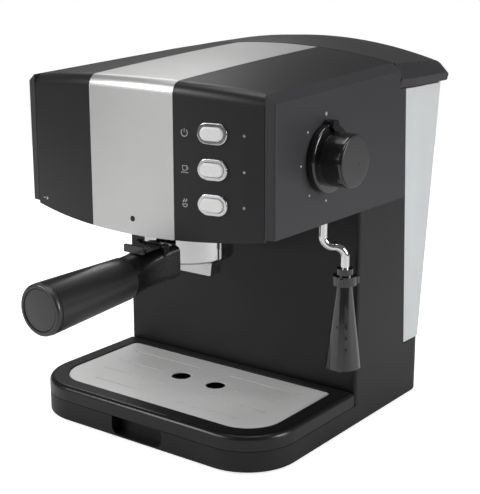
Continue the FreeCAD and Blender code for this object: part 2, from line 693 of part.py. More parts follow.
def make_tray():
    body = tray_plan(0, TRAY_BOTTOM_Z, TRAY_TOP_Z)
    top_edges = [e for e in body.Edges if e.BoundBox.ZMin > TRAY_TOP_Z - 0.1]
    top_edges = [e for e in top_edges if e.BoundBox.YMin < COLUMN_FRONT_Y - 6]
    body = body.makeFillet(4.0, top_edges)
    pan = grille_plan(-SEAT_LEDGE, TRAY_FLOOR_Z, TRAY_TOP_Z + 1)
    seat = grille_plan(FREE, GRILLE_SEAT_Z, TRAY_TOP_Z + 1)
    pan_wall = grille_plan(-SEAT_LEDGE + 2.0, TRAY_BOTTOM_Z - 1, TRAY_TOP_Z)
    channel = tray_plan(2.2, TRAY_BOTTOM_Z - 1, GRILLE_SEAT_Z - 2.0).cut(pan_wall)
    body = body.cut(pan).cut(seat).cut(channel)
    for side in (-1, 1):
        x = side * TRAY_TAB_X
        body = body.fuse(box(x - TRAY_TAB_HALF_W, x + TRAY_TAB_HALF_W, COLUMN_FRONT_Y - 2.4, COLUMN_FRONT_Y + 4,
                             TAB_Z - TAB_T / 2, TAB_Z + TAB_T / 2))
    add("drip_tray", body.removeSplitter())

    sheet = grille_plan(0, GRILLE_TOP_Z - GRILLE_SKIRT_H, GRILLE_TOP_Z)
    sheet = sheet.makeFillet(0.8, [e for e in sheet.Edges if e.BoundBox.ZMin > GRILLE_TOP_Z - 0.1])
    sheet = sheet.cut(grille_plan(-1.0, GRILLE_TOP_Z - GRILLE_SKIRT_H - 1, GRILLE_TOP_Z - GRILLE_T))
    for side in (-1, 1):
        hole_x = side * DRAIN_HOLE_X
        hole_y = GRILLE_FRONT_Y + DRAIN_HOLE_BACK
        sheet = sheet.cut(rod((hole_x, hole_y, 0), (hole_x, hole_y, 60), DRAIN_HOLE_R))
        for back, near, margin in SLOT_ROWS:
            y = GRILLE_FRONT_Y + back
            far = GRILLE_HALF_W - margin
            x0 = min(side * near, side * far)
            x1 = max(side * near, side * far)
            low = y - SLOT_W / 2
            high = y + SLOT_W / 2
            corners = [(x0, low), (x1, low), (x1, high), (x0, high)]
            sheet = sheet.cut(plan_prism(corners, [SLOT_W / 2 - 0.01] * 4, 0, 60))
    add("drip_grille", sheet)


# --- group head, boiler ---
PIPE_R = 2.9
FEED_Y = GROUP_Y + 6
FEED_H = 36.0             # water feed above the group head's top
GASKET_GAP = 0.4


def sector(z0, z1, inner_r, outer_r, middle_deg, half_deg):
    """A block of ring about the group's axis."""
    block = Part.makeCylinder(outer_r, z1 - z0, Vec(0, GROUP_Y, z0), Vec(0, 0, 1), 2 * half_deg)
    block = block.cut(rod((0, GROUP_Y, z0), (0, GROUP_Y, z1), inner_r))
    block.rotate(Vec(0, GROUP_Y, 0), Vec(0, 0, 1), middle_deg - half_deg)
    return block


def around_group(count, radius, start_deg=0.0):
    """Places spread evenly on a circle about the group's axis."""
    places = []
    for i in range(count):
        angle = math.radians(start_deg + 360.0 * i / count)
        places.append((radius * math.cos(angle), GROUP_Y + radius * math.sin(angle)))
    return places


GROUP_BOLT_CIRCLE = 35.5
BOILER_BOLT_CIRCLE = 37.0
BOLT_R = 1.9
BOLT_HEAD_R = 3.5
LOWER_BOILER_H = 20.0
UPPER_BOILER_H = 38.0


def make_group():
    axis = (0, GROUP_Y)
    top = GROUP_TOP_Z
    plate_z = GROUP_PLATE_Z
    skirt = ring((*axis, SKIRT_BOTTOM_Z), (*axis, top), SKIRT_R, SKIRT_BORE_R)
    head = skirt.fuse(rod((*axis, plate_z), (*axis, top), SKIRT_BORE_R + 0.5))
    head = head.cut(rod((*axis, plate_z - 1), (*axis, plate_z + 1.5), 25.0))
    for middle in (-2.0, 178.0):
        ledge = sector(SKIRT_BOTTOM_Z, EAR_BOTTOM_Z - 0.3, BOWL_R + 0.6, SKIRT_BORE_R + 0.5, middle, 22.0)
        head = head.fuse(ledge)
    head = head.cut(rod((*axis, plate_z - 20), (*axis, top + 20), 2.5))
    for x, y in around_group(4, GROUP_BOLT_CIRCLE, 45):
        head = head.cut(rod((x, y, plate_z - 20), (x, y, top + 20), BOLT_R + 0.2))
    add("group_head", head.removeSplitter())

    gasket_bottom = BOWL_TOP_Z + 0.8 + GASKET_GAP
    add("group_gasket", ring((*axis, gasket_bottom), (*axis, plate_z), BOWL_R - 0.8, BASKET_R - 1.4))
    screen_r = BASKET_R - 3.0
    screen = rod((*axis, plate_z - 3.2), (*axis, plate_z - 2.4), screen_r)
    for row, count in ((6.5, 6), (11.5, 12), (16.5, 18), (21.5, 24)):
        for x, y in around_group(count, row):
            screen = screen.cut(rod((x, y, plate_z - 5), (x, y, plate_z), 0.7))
    screen = screen.fuse(ring((*axis, plate_z - 3.2), (*axis, plate_z), screen_r + 0.8, screen_r - 0.4))
    add("shower_screen", screen.removeSplitter().cut(rod((*axis, plate_z - 8), (*axis, plate_z + 4), 2.6)))
    screw = rod((*axis, plate_z - 4.5), (*axis, plate_z - 3.2), 4.4)
    screw = screw.cut(box(-3.4, 3.4, GROUP_Y - 0.5, GROUP_Y + 0.5, plate_z - 5, plate_z - 3.9))
    screw = screw.fuse(rod((*axis, plate_z - 3.4), (*axis, plate_z + 4.6), 2.45))

    joint_z = top + LOWER_BOILER_H
    roof_z = joint_z + UPPER_BOILER_H
    lower = rod((*axis, top), (*axis, joint_z), BOILER_R)
    lower = lower.fuse(ring((*axis, joint_z - 6), (*axis, joint_z), FLANGE_R, 20))
    lower = lower.fuse(ring((*axis, top), (*axis, top + 5), FLANGE_R, 20))
    lower = lower.cut(rod((*axis, top + 4), (*axis, joint_z + 1), BOILER_R - 5.0))
    upper = rod((*axis, joint_z), (*axis, roof_z), BOILER_R)
    upper = upper.makeFillet(6, [e for e in upper.Edges if e.BoundBox.ZMin > roof_z - 0.1])
    upper = upper.fuse(ring((*axis, joint_z), (*axis, joint_z + 5), FLANGE_R, 20))
    upper = upper.cut(rod((*axis, joint_z - 1), (*axis, roof_z - 4), BOILER_R - 4.5))
    upper = upper.cut(rod((BOILER_R - 13, KNOB_Y, KNOB_Z), (BOILER_R + 7, KNOB_Y, KNOB_Z), PIPE_R + 0.1))
    inlet_z = top + FEED_H
    upper = upper.cut(rod((-BOILER_R + 13, FEED_Y, inlet_z), (-BOILER_R - 7, FEED_Y, inlet_z), PIPE_R + 0.1))
    bolts = [screw]
    for x, y in around_group(4, BOILER_BOLT_CIRCLE, 45):
        hole = rod((x, y, joint_z - 13), (x, y, joint_z + 12), BOLT_R + 0.2)
        lower = lower.cut(hole)
        upper = upper.cut(hole)
        shank = rod((x, y, joint_z - 7), (x, y, joint_z + 6), BOLT_R)
        bolts.append(shank.fuse(rod((x, y, joint_z + 5), (x, y, joint_z + 8.5), BOLT_HEAD_R)))
    for x, y in around_group(4, GROUP_BOLT_CIRCLE, 45):
        lower = lower.cut(rod((x, y, top - 8), (x, y, top + 6), BOLT_R + 0.2))
        lower = lower.cut(rod((x, y, top + 5), (x, y, top + 12), BOLT_HEAD_R + 0.4))
        shank = rod((x, y, top - 5), (x, y, top + 5), BOLT_R)
        bolts.append(shank.fuse(rod((x, y, top + 5), (x, y, top + 8.5), BOLT_HEAD_R)))
    add("boiler_lower", lower.removeSplitter())
    add("boiler_upper", upper.removeSplitter())
    add("group_screws", Part.makeCompound(bolts))

    coil = Part.makeTorus(BOILER_R - 13, 3.5, Vec(0, GROUP_Y, top + 13), Vec(0, 0, 1))
    add("heating_element", coil)
    caps = []
    for x in (-14, 14):
        cap = rod((x, GROUP_Y - 6, roof_z), (x, GROUP_Y - 6, roof_z + 9), 8.0)
        caps.append(cap.fuse(box(x - 3, x + 3, GROUP_Y - 10, GROUP_Y - 2, roof_z + 9, roof_z + 14)))
    add("thermostats", Part.makeCompound(caps))


# --- filter holder ---
def make_filter_holder():
    axis = (0, GROUP_Y)
    bowl = rod((*axis, BOWL_BOTTOM_Z), (*axis, BOWL_TOP_Z), BOWL_R)
    bowl = bowl.makeFillet(2.5, [e for e in bowl.Edges if e.BoundBox.ZMax < BOWL_BOTTOM_Z + 0.1])
    bowl = bowl.cut(rod((*axis, BOWL_BOTTOM_Z + 3.5), (*axis, BOWL_TOP_Z + 1), BOWL_BORE_R))
    for middle in (0, 180):
        ear = sector(EAR_BOTTOM_Z, EAR_TOP_Z, BOWL_R - 1, EAR_R, middle, EAR_HALF_ANGLE)
        bowl = bowl.fuse(ear)
    bowl = bowl.cut(rod((*axis, BOWL_BOTTOM_Z - 1), (*axis, BOWL_BOTTOM_Z + 5), 5.0))
    bowl = bowl.fuse(handle_rod(NECK_SEAM_Y - 51, BOWL_FRONT_Y + 2.5, STUD_R))
    add("portafilter_bowl", bowl.removeSplitter())

    low = BOWL_BOTTOM_Z - SPOUT_H
    half = SPOUT_HALF_W
    profile = [(-half, low + 0.4), (-half + 1.4, low), (half - 1.4, low), (half, low + 0.4),
               (half + 1.4, BOWL_BOTTOM_Z), (-half - 1.4, BOWL_BOTTOM_Z)]
    points = [Vec(x, GROUP_Y - SPOUT_HALF_D, z) for x, z in profile]
    block = Part.Face(Part.makePolygon(points + points[:1])).extrude(Vec(0, 2 * SPOUT_HALF_D, 0))
    channel_d = SPOUT_HALF_D - 2
    channel_y = (GROUP_Y - channel_d, GROUP_Y + channel_d)
    block = block.cut(box(-half + 3, half - 3, *channel_y, low + 5, BOWL_BOTTOM_Z - 2.5))
    for side in (-1, 1):
        x = side * SPOUT_X
        block = block.cut(rod((x, GROUP_Y, low - 4), (x, GROUP_Y, low + 6), 3.6))
    block = block.cut(rod((*axis, BOWL_BOTTOM_Z - 4), (*axis, BOWL_BOTTOM_Z + 1), 3.4))
    collar = ring((*axis, BOWL_BOTTOM_Z), (*axis, BOWL_BOTTOM_Z + 4.5), 4.9, 3.4)
    add("spout", block.fuse(collar).removeSplitter())

    basket = rod((*axis, BASKET_BOTTOM_Z), (*axis, BOWL_TOP_Z + 0.8), BASKET_R)
    basket = basket.fuse(rod((*axis, BOWL_TOP_Z), (*axis, BOWL_TOP_Z + 0.8), BOWL_R - 0.8))
    basket = basket.cut(rod((*axis, BASKET_BOTTOM_Z + 0.8), (*axis, BOWL_TOP_Z + 2), BASKET_R - 0.8))
    for row, count in ((4, 6), (9, 12), (14, 18), (19, 24)):
        for x, y in around_group(count, row):
            basket = basket.cut(rod((x, y, BASKET_BOTTOM_Z - 3), (x, y, BASKET_BOTTOM_Z + 2), 0.5))
    add("filter_basket", basket)


def on_handle_axis(y):
    """The point of the handle's sloping axis at a distance back."""
    slope = (NECK_SEAM_Z - GRIP_FRONT_Z) / (NECK_SEAM_Y - GRIP_FRONT_Y)
    return (0, y, NECK_SEAM_Z + slope * (y - NECK_SEAM_Y))


def handle_rod(y0, y1, radius):
    return rod(on_handle_axis(y0), on_handle_axis(y1), radius)


def oval_wire(y, centre_z, half_w, half_h, corner_r):
    corners = [Vec(-half_w, y, centre_z - half_h), Vec(half_w, y, centre_z - half_h),
               Vec(half_w, y, centre_z + half_h), Vec(-half_w, y, centre_z + half_h)]
    return rounded_wire(corners, [corner_r] * 4)


def make_handle():
    stud_bore = handle_rod(NECK_SEAM_Y - 52, BOWL_FRONT_Y + 3, STUD_R + RUNNING)
    grip = taper(on_handle_axis(NECK_SEAM_Y + 3), on_handle_axis(GRIP_FRONT_Y - 3), NECK_R - 0.1, GRIP_R + 0.1)
    grip = grip.common(box(-60, 60, GRIP_FRONT_Y, NECK_SEAM_Y, GRIP_FRONT_Z - 60, GRIP_FRONT_Z + 60))
    grip = grip.makeFillet(1.0, [e for e in grip.Edges if e.BoundBox.YMin > NECK_SEAM_Y - 0.1])
    pocket = rod((0, GRIP_FRONT_Y + 4, GRIP_FRONT_Z), (0, GRIP_FRONT_Y - 1, GRIP_FRONT_Z), GRIP_R - 3)
    add("handle_grip", grip.cut(stud_bore).cut(pocket))

    base_z = BOWL_BOTTOM_Z
    sections = [
        oval_wire(NECK_SEAM_Y + 0.3, NECK_SEAM_Z, NECK_R - 0.6, NECK_R - 0.6, NECK_R - 1.2),
        oval_wire(NECK_SEAM_Y + 16, base_z - 0.8, 12.6, 14.4, 10.0),
        oval_wire(NECK_SEAM_Y + 30, base_z + 1.4, 13.4, 13.6, 7.0),
        oval_wire(BOWL_FRONT_Y + 9, base_z + 2.6, 16.5, 13.2, 5.0),
    ]
    neck = Part.makeLoft(sections, True, False)
    neck = neck.cut(rod((0, GROUP_Y, base_z - 40), (0, GROUP_Y, base_z + 60), BOWL_R))
    neck = neck.cut(box(-40, 40, NECK_SEAM_Y - 30, GROUP_Y, NECK_TOP_Z, NECK_TOP_Z + 50))
    neck = neck.cut(stud_bore)
    pivot = (CLIP_PIVOT_Y, CLIP_PIVOT_Z)
    for side in (-1, 1):
        x0 = side * (CLIP_HALF_W + 0.4)
        x1 = side * (CLIP_HALF_W + 3.0)
        ear_y = (CLIP_PIVOT_Y - 3, CLIP_PIVOT_Y + 3)
        ear = box(min(x0, x1), max(x0, x1), *ear_y, CLIP_PIVOT_Z - 6.6, CLIP_PIVOT_Z + 3)
        ear_edges = [e for e in ear.Edges if e.BoundBox.ZMin > CLIP_PIVOT_Z + 2.9 and e.BoundBox.XLength > 1]
        neck = neck.fuse(ear.makeFillet(2.4, ear_edges))
    neck = neck.cut(rod((-CLIP_HALF_W - 0.4, *pivot), (CLIP_HALF_W + 0.4, *pivot), CLIP_KNUCKLE_R + FREE))
    neck = neck.cut(rod((-20, *pivot), (20, *pivot), CLIP_PIN_R + RUNNING))
    add("handle_neck", neck.removeSplitter())

    cap = rod((0, GRIP_FRONT_Y, GRIP_FRONT_Z), (0, TIP_Y, GRIP_FRONT_Z), GRIP_R - 0.2)
    cap = cap.makeFillet(3.0, [e for e in cap.Edges if e.BoundBox.YMax < TIP_Y + 0.1])
    plug = ring((0, GRIP_FRONT_Y + 3.6, GRIP_FRONT_Z), (0, GRIP_FRONT_Y, GRIP_FRONT_Z), GRIP_R - 3.1, 11)
    add("handle_end_cap", cap.fuse(plug).removeSplitter())

    pin = rod((-CLIP_HALF_W - 3.0, *pivot), (CLIP_HALF_W + 3.0, *pivot), CLIP_PIN_R)
    knuckle = rod((-CLIP_HALF_W, *pivot), (CLIP_HALF_W, *pivot), CLIP_KNUCKLE_R)
    tip_y = CLIP_PIVOT_Y - 19
    plate = box(-CLIP_HALF_W, CLIP_HALF_W, tip_y, CLIP_PIVOT_Y, CLIP_PIVOT_Z, CLIP_PIVOT_Z + 1.6)
    thumb_half = CLIP_HALF_W - 1.5
    thumb = box(-thumb_half, thumb_half, tip_y - 2.5, tip_y + 0.2, CLIP_PIVOT_Z - 1.4, CLIP_PIVOT_Z + 4.0)
    add("basket_clip", joined(pin, knuckle, plate, thumb))


# --- steam valve, knob, wand and frother ---
def make_steam():
    seat_x = HALF_W - 28
    feed_x = HALF_W - 45
    port_x = HALF_W - 23
    port_z = KNOB_Z - 16
    valve = rod((feed_x, KNOB_Y, KNOB_Z), (HALF_W - 11, KNOB_Y, KNOB_Z), 9.0)
    valve = valve.fuse(rod((port_x, KNOB_Y, KNOB_Z), (port_x, KNOB_Y, port_z), 5.0))
    valve = valve.cut(rod((seat_x - 1, KNOB_Y, KNOB_Z), (HALF_W - 10, KNOB_Y, KNOB_Z), STEM_R + RUNNING))
    valve = valve.cut(rod((feed_x - 1, KNOB_Y, KNOB_Z), (seat_x, KNOB_Y, KNOB_Z), 2.0))
    valve = valve.cut(rod((port_x, KNOB_Y, KNOB_Z), (port_x, KNOB_Y, port_z - 1), 2.0))
    add("steam_valve_body", valve.removeSplitter())
    add("valve_stem", rod((seat_x, KNOB_Y, KNOB_Z), (HALF_W + 19, KNOB_Y, KNOB_Z), STEM_R))

    socket_top = BALL_Z + 9.5
    supply = rod((BOILER_R - 3, KNOB_Y, KNOB_Z), (feed_x, KNOB_Y, KNOB_Z), PIPE_R)
    outlet = pipe([(port_x, KNOB_Y, port_z), (port_x, KNOB_Y, port_z - 5.5), (WAND_X, WAND_Y, socket_top + 6),
                   (WAND_X, WAND_Y, socket_top)], 2.6, PIPE_R)
    add("steam_pipes", Part.makeCompound([supply, outlet]))

    flange_x = HALF_W + 6
    knob = rod((HALF_W + 1.2, KNOB_Y, KNOB_Z), (flange_x, KNOB_Y, KNOB_Z), KNOB_FLANGE_R)
    knob = knob.makeFillet(1.5, [e for e in knob.Edges if e.BoundBox.XMin > flange_x - 0.1])
    rim_x = KNOB_FACE_X - 1.2
    grip = taper((flange_x - 0.5, KNOB_Y, KNOB_Z), (rim_x, KNOB_Y, KNOB_Z), KNOB_GRIP_R + 0.6, KNOB_GRIP_R)
    grip = grip.makeFillet(1.5, [e for e in grip.Edges if e.BoundBox.XMin > rim_x - 0.1])
    pointer_z = KNOB_Z + KNOB_FLANGE_R - 1.0
    pointer = rod((HALF_W + 1.8, KNOB_Y, pointer_z), (flange_x + 2.5, KNOB_Y, pointer_z), 4.0)
    knob = joined(knob, grip, pointer)
    knob = knob.cut(rod((HALF_W, KNOB_Y, KNOB_Z), (HALF_W + 19, KNOB_Y, KNOB_Z), STEM_R))
    pocket_x = KNOB_FACE_X - 2.7
    knob = knob.cut(rod((pocket_x, KNOB_Y, KNOB_Z), (KNOB_FACE_X + 1, KNOB_Y, KNOB_Z), KNOB_GRIP_R - 3.0))
    add("steam_knob", knob.removeSplitter())
    face = rod((pocket_x, KNOB_Y, KNOB_Z), (KNOB_FACE_X, KNOB_Y, KNOB_Z), KNOB_GRIP_R - 3.1)
    face = face.makeFillet(1.0, [e for e in face.Edges if e.BoundBox.XMin > KNOB_FACE_X - 0.1])
    add("knob_face", face)

    axis = (WAND_X, WAND_Y)
    ball = Part.makeSphere(BALL_R, Vec(*axis, BALL_Z))
    split_z = BALL_Z - 4.0
    socket = rod((*axis, split_z), (*axis, socket_top), BALL_R + 3.0)
    socket = socket.cut(Part.makeSphere(BALL_R + RUNNING, Vec(*axis, BALL_Z)))
    socket = socket.cut(rod((*axis, split_z - 2), (*axis, BALL_Z), BALL_R + RUNNING))
    socket = socket.cut(rod((*axis, BALL_Z), (*axis, socket_top + 1), 2.0))
    add("wand_socket", socket)
    nut = rod((*axis, HEAD_BOTTOM_Z + WALL + 0.1), (*axis, split_z), BALL_R + 3.0)
    nut = nut.fuse(rod((*axis, HEAD_BOTTOM_Z - 2.8), (*axis, split_z - 2), NUT_NECK_R))
    nut = nut.cut(rod((*axis, HEAD_BOTTOM_Z - 12), (*axis, split_z + 2), WAND_TUBE_R + RUNNING))
    add("wand_nut", nut.cut(Part.makeSphere(BALL_R + RUNNING, Vec(*axis, BALL_Z))))

    end_x = WAND_X + WAND_OFFSET_X
    end_y = WAND_Y + WAND_OFFSET_Y
    path = [(*axis, BALL_Z), (*axis, WAND_BEND_Z), (end_x, end_y, WAND_BEND_Z), (end_x, end_y, WAND_TIP_Z + 5)]
    bar = pipe(path, WAND_TUBE_R, WAND_BEND_R)
    add("wand_tube", bar.fuse(ball).removeSplitter())
    tip = (end_x, end_y)
    nozzle = rod((*tip, WAND_TIP_Z), (*tip, WAND_TIP_Z + 5), 4.2)
    nozzle = nozzle.makeFillet(1.2, [e for e in nozzle.Edges if e.BoundBox.ZMax < WAND_TIP_Z + 0.1])
    add("steam_nozzle", nozzle.cut(rod((*tip, WAND_TIP_Z - 1), (*tip, WAND_TIP_Z + 4), 1.0)))

    slide_r = WAND_TUBE_R + RUNNING
    top = SLEEVE_TOP_Z
    low = SLEEVE_BOTTOM_Z
    roof_z = top - 16.4
    inner_r = SLEEVE_BOTTOM_R - SLEEVE_WALL
    sleeve = taper((*tip, low), (*tip, top), SLEEVE_BOTTOM_R, SLEEVE_TOP_R)
    hollow = taper((*tip, low - 0.01), (*tip, roof_z), inner_r, inner_r - 5.6)
    sleeve = sleeve.cut(hollow).cut(rod((*tip, roof_z - 4), (*tip, top + 10), slide_r))
    rib_half = 2.0
    rib_top = top - 8.4
    rib_profile = [(end_y - SLEEVE_BOTTOM_R - 0.9, low), (end_y - SLEEVE_TOP_R - 1.8, rib_top),
                   (end_y - 5, rib_top), (end_y - SLEEVE_BOTTOM_R + 1.0, low)]
    tilt = side_prism(rib_profile, end_x - rib_half, end_x + rib_half)
    rib = tilt.cut(hollow).cut(rod((*tip, low - 5), (*tip, top + 10), 4.6))
    rib.rotate(Vec(*tip, 0), Vec(0, 0, 1), 22)
    add("frother_sleeve", sleeve.fuse(rib).removeSplitter())
    collar = rod((*tip, top), (*tip, top + 13.6), 6.2).fuse(rod((*tip, top + 1.2), (*tip, top + 8.1), 9.0))
    for angle in (40, 160, 280):
        x = end_x + 8.6 * math.cos(math.radians(angle))
        y = end_y + 8.6 * math.sin(math.radians(angle))
        collar = collar.fuse(rod((x, y, top + 2.0), (x, y, top + 7.3), 2.4))
    add("frother_collar", collar.cut(rod((*tip, top - 2), (*tip, top + 16), slide_r)).removeSplitter())


# --- buttons ---
SWITCH_GAP = 0.6


def make_buttons():
    bezels = []
    lamps = []
    switches = []
    # A bezel's lip rests on the bowed front of this form.
    inside_head = head_form(0).cut(box(-300, 300, 60, 400, 0, 500))
    inner_w = BEZEL_W - 2 * BEZEL_LIP
    inner_h = BEZEL_H - 2 * BEZEL_LIP
    cap_back = 5.5
    for name, z in zip(BUTTON_NAMES, BUTTON_Z):
        lip = pill(BEZEL_W, BEZEL_H, -1.4, 0.0)
        front = [e for e in lip.Edges if e.BoundBox.YMax < -1.3]
        lip = lip.makeFillet(0.7, front)
        bore = pill(inner_w - 0.6, inner_h - 0.6, -3, BEZEL_DEPTH + 1)
        barrel = pill(inner_w + 1.0, inner_h + 1.0, -1.0, BEZEL_DEPTH).cut(bore)
        seated = on_front(lip.cut(bore), BUTTON_X, z).cut(inside_head)
        bezels.append(seated.fuse(on_front(barrel, BUTTON_X, z)).removeSplitter())
        cap = pill(inner_w - 0.6 - 2 * FREE, inner_h - 0.6 - 2 * FREE, -3.2, cap_back)
        cap = cap.makeFillet(1.2, [e for e in cap.Edges if e.BoundBox.YMax < -3.1])
        cap = cap.fuse(rod((0, cap_back - 1, 0), (0, cap_back + 5.0, 0), 2.4))
        add(name, on_front(cap.removeSplitter(), BUTTON_X, z))
        rear = cap_back + 5.0 + BUTTON_TRAVEL + SWITCH_GAP
        switch = box(-10, 10, rear, rear + 11, -6.5, 6.5)
        for x in (-4, 3):
            switch = switch.fuse(box(x, x + 1, rear + 10, rear + 15, -3, 3))
        switches.append(on_front(switch, BUTTON_X, z))
        lamps.append(on_front(rod((0, -0.25, 0), (0, 9, 0), 1.0), LAMP_X, z))
    add("button_bezels", Part.makeCompound(bezels))
    add("indicator_lenses", Part.makeCompound(lamps))
    add("switches", Part.makeCompound(switches))


# --- water tank and lid ---
def tank_form(inset, z0, z1):
    def front(z):
        return column_back_y(z) + TANK_GAP + inset

    def back(z):
        if z < TANK_BEND_Z:
            share = (z - PEDESTAL_TOP_Z) / (TANK_BEND_Z - PEDESTAL_TOP_Z)
            return TANK_BOTTOM_BACK_Y + share * (TANK_BEND_Y - TANK_BOTTOM_BACK_Y) - inset
        share = (z - TANK_BEND_Z) / (TANK_TOP_Z - TANK_BEND_Z)
        return TANK_BEND_Y + share * (TANK_TOP_BACK_Y - TANK_BEND_Y) - inset

    profile = [(front(z0), z0), (front(z1), z1), (back(z1), z1), (back(TANK_BEND_Z), TANK_BEND_Z),
               (back(z0), z0)]
    half = TANK_HALF_W - inset
    form = side_prism(profile, -half, half)
    corner = 6.0 - inset
    edges = []
    for edge in form.Edges:
        middle = edge.BoundBox.Center
        if edge.BoundBox.XLength < 0.01 and edge.BoundBox.ZLength > 60 and middle.y > COLUMN_BACK_Y + 14:
            edges.append(edge)
    form = form.makeFillet(corner, edges)
    for side in (-1, 1):
        flat = half - TANK_FACET_W
        facet_y = LID_FRONT_Y - 5.8 + TANK_FACET_D
        start_y = facet_y - 26.0
        corners = [(side * half, facet_y), (side * flat, start_y), (side * (half + 9), start_y),
                   (side * (half + 9), facet_y)]
        form = form.cut(plan_prism(corners, [0, 0, 0, 0], 0, 300))
    return form


VALVE_R = 8.0


def make_tank():
    outer = tank_form(0, TANK_BOTTOM_Z, TANK_TOP_Z)
    inner = tank_form(TANK_WALL, TANK_BOTTOM_Z + TANK_WALL, TANK_TOP_Z + 1)
    tank = outer.cut(inner)
    hole_top = (0, TANK_SOCKET_Y, TANK_BOTTOM_Z + 10)
    tank = tank.cut(rod((0, TANK_SOCKET_Y, TANK_BOTTOM_Z - 8), hole_top, VALVE_R - 1.0))
    for side in (-1, 1):
        x0 = side * LID_LUG_X - LID_LUG_HALF_W
        x1 = side * LID_LUG_X + LID_LUG_HALF_W
        knuckle = rod((x0, LID_PIN_Y, LID_PIN_Z), (x1, LID_PIN_Y, LID_PIN_Z), LID_KNUCKLE_R)
        arm = side_prism([(LID_PIN_Y - 5.6, TANK_TOP_Z - 7), (LID_PIN_Y - 5.6, TANK_TOP_Z),
                          (LID_PIN_Y - 2.2, LID_PIN_Z + 1.2), (LID_PIN_Y + 2.0, LID_PIN_Z - 1.6),
                          (LID_PIN_Y - 3.0, TANK_TOP_Z - 7)], x0, x1)
        lug = knuckle.fuse(arm).cut(tank_form(TANK_WALL, TANK_BOTTOM_Z, TANK_TOP_Z))
        axis = (LID_PIN_Y, LID_PIN_Z)
        pin = rod((x0 - LID_PIN_REACH, *axis), (x1 + LID_PIN_REACH, *axis), LID_PIN_R)
        lug = lug.fuse(pin)
        tank = tank.fuse(lug)
    add("water_tank", tank.removeSplitter())

    axis = (0, TANK_SOCKET_Y)
    ledge = PEDESTAL_TOP_Z
    floor = TANK_BOTTOM_Z + TANK_WALL
    valve = ring((*axis, ledge - 9), (*axis, floor + 1.0), VALVE_R - 1.2, VALVE_R - 3.0)
    valve = valve.fuse(ring((*axis, floor), (*axis, floor + 1.5), VALVE_R + 2, VALVE_R - 3.0))
    valve = valve.fuse(ring((*axis, ledge - 6), (*axis, ledge - 4), VALVE_R - 0.4, VALVE_R - 3.0))
    valve = valve.fuse(ring((*axis, ledge - 2), (*axis, TANK_BOTTOM_Z), VALVE_R - 0.2, VALVE_R - 3.0))
    add("tank_valve", valve.removeSplitter())
    add("valve_seal", ring((*axis, ledge - 4), (*axis, ledge - 2), VALVE_R + 0.3, VALVE_R - 1.2))

    outer_r = TANK_SOCKET_R - 0.1
    socket = ring((*axis, ledge - 12), (*axis, ledge), outer_r, VALVE_R + 0.7)
    socket = socket.fuse(rod((*axis, ledge - 14), (*axis, ledge - 11.5), outer_r))
    socket = socket.fuse(rod((*axis, ledge - 21), (*axis, ledge - 13.5), 3.5))
    add("tank_socket", socket.cut(rod((*axis, ledge - 22), (*axis, ledge - 11), 2.0)).removeSplitter())


def lid_section(y, end, crown_z, shoulder_z, inset, low_z):
    """One cross-section of the lid: arched top, then two slopes down each end."""
    end = end - inset
    shoulder_x = end - LID_SLOPE_W
    bend_z = min(LID_BOTTOM_Z + LID_BEND_H, shoulder_z - inset - 2.0)
    left = Vec(-shoulder_x, y, shoulder_z - inset)
    right = Vec(shoulder_x, y, shoulder_z - inset)
    crown = Part.Arc(left, Vec(0, y, crown_z - inset), right).toShape()
    foot = end - 1.2
    points = [right, Vec(end, y, bend_z), Vec(foot, y, low_z), Vec(-foot, y, low_z), Vec(-end, y, bend_z),
              left]
    sides = [Part.LineSegment(points[i], points[i + 1]).toShape() for i in range(len(points) - 1)]
    return Part.Wire([crown] + sides)


def lid_form(inset, low_z):
    """The lid's space: higher in the middle of its depth, falling steeply at the back."""
    shoulder = LID_BOTTOM_Z + LID_CROWN_H - 15.4
    stations = (
        (LID_FRONT_Y + inset, LID_FRONT_HALF_W, LID_FRONT_H, shoulder + 1.4),
        (LID_FRONT_Y + 20.0, LID_HALF_W, LID_CROWN_H - 1.4, shoulder + 0.8),
        (LID_FRONT_Y + 41.6, LID_HALF_W, LID_CROWN_H, shoulder),
        (LID_FACE_Y - 9.5, LID_HALF_W, LID_CROWN_H - 1.4, shoulder - 1.8),
        (LID_FACE_Y - 4.0 - inset / 2, LID_HALF_W, LID_CROWN_H - 5.6, shoulder - 4.2),
        (LID_FACE_Y - inset, LID_HALF_W - 1.0, LID_BEND_H + 1.5, LID_BOTTOM_Z + LID_BEND_H),
    )
    wires = []
    for y, end, crown, side_z in stations:
        wires.append(lid_section(y, end, LID_BOTTOM_Z + crown, side_z, inset, low_z))
    return Part.makeLoft(wires, True, True)


def make_lid():
    outer = lid_form(0, LID_BOTTOM_Z)
    inner = lid_form(LID_WALL, LID_BOTTOM_Z - 1)
    lip = box(-LID_HALF_W + 5, LID_HALF_W - 5, LID_FACE_Y - 4, LID_BACK_Y, LID_BOTTOM_Z, LID_BOTTOM_Z + 4.0)
    lip = lip.makeFillet(2.0, [e for e in lip.Edges if e.BoundBox.ZMin > LID_BOTTOM_Z + 3.9])
    lid = outer.fuse(lip).cut(inner)
    pocket_half = LID_LUG_HALF_W + FREE
    for side in (-1, 1):
        x = side * LID_LUG_X
        lid = lid.cut(box(x - pocket_half, x + pocket_half, LID_PIN_Y - 8, LID_BACK_Y + 1,
                          LID_BOTTOM_Z - 1, LID_PIN_Z + LID_KNUCKLE_R + 0.8))
        for toward in (-1, 1):
            near = (x + toward * pocket_half, LID_PIN_Y, LID_PIN_Z)
            far = (x + toward * (pocket_half + 4.0), LID_PIN_Y, LID_PIN_Z)
            lid = lid.fuse(rod(near, far, LID_KNUCKLE_R))
        reach = pocket_half + 5.0
        axis = (LID_PIN_Y, LID_PIN_Z)
        lid = lid.cut(rod((x - reach, *axis), (x + reach, *axis), LID_PIN_R + RUNNING))
    add("tank_lid", lid.removeSplitter())


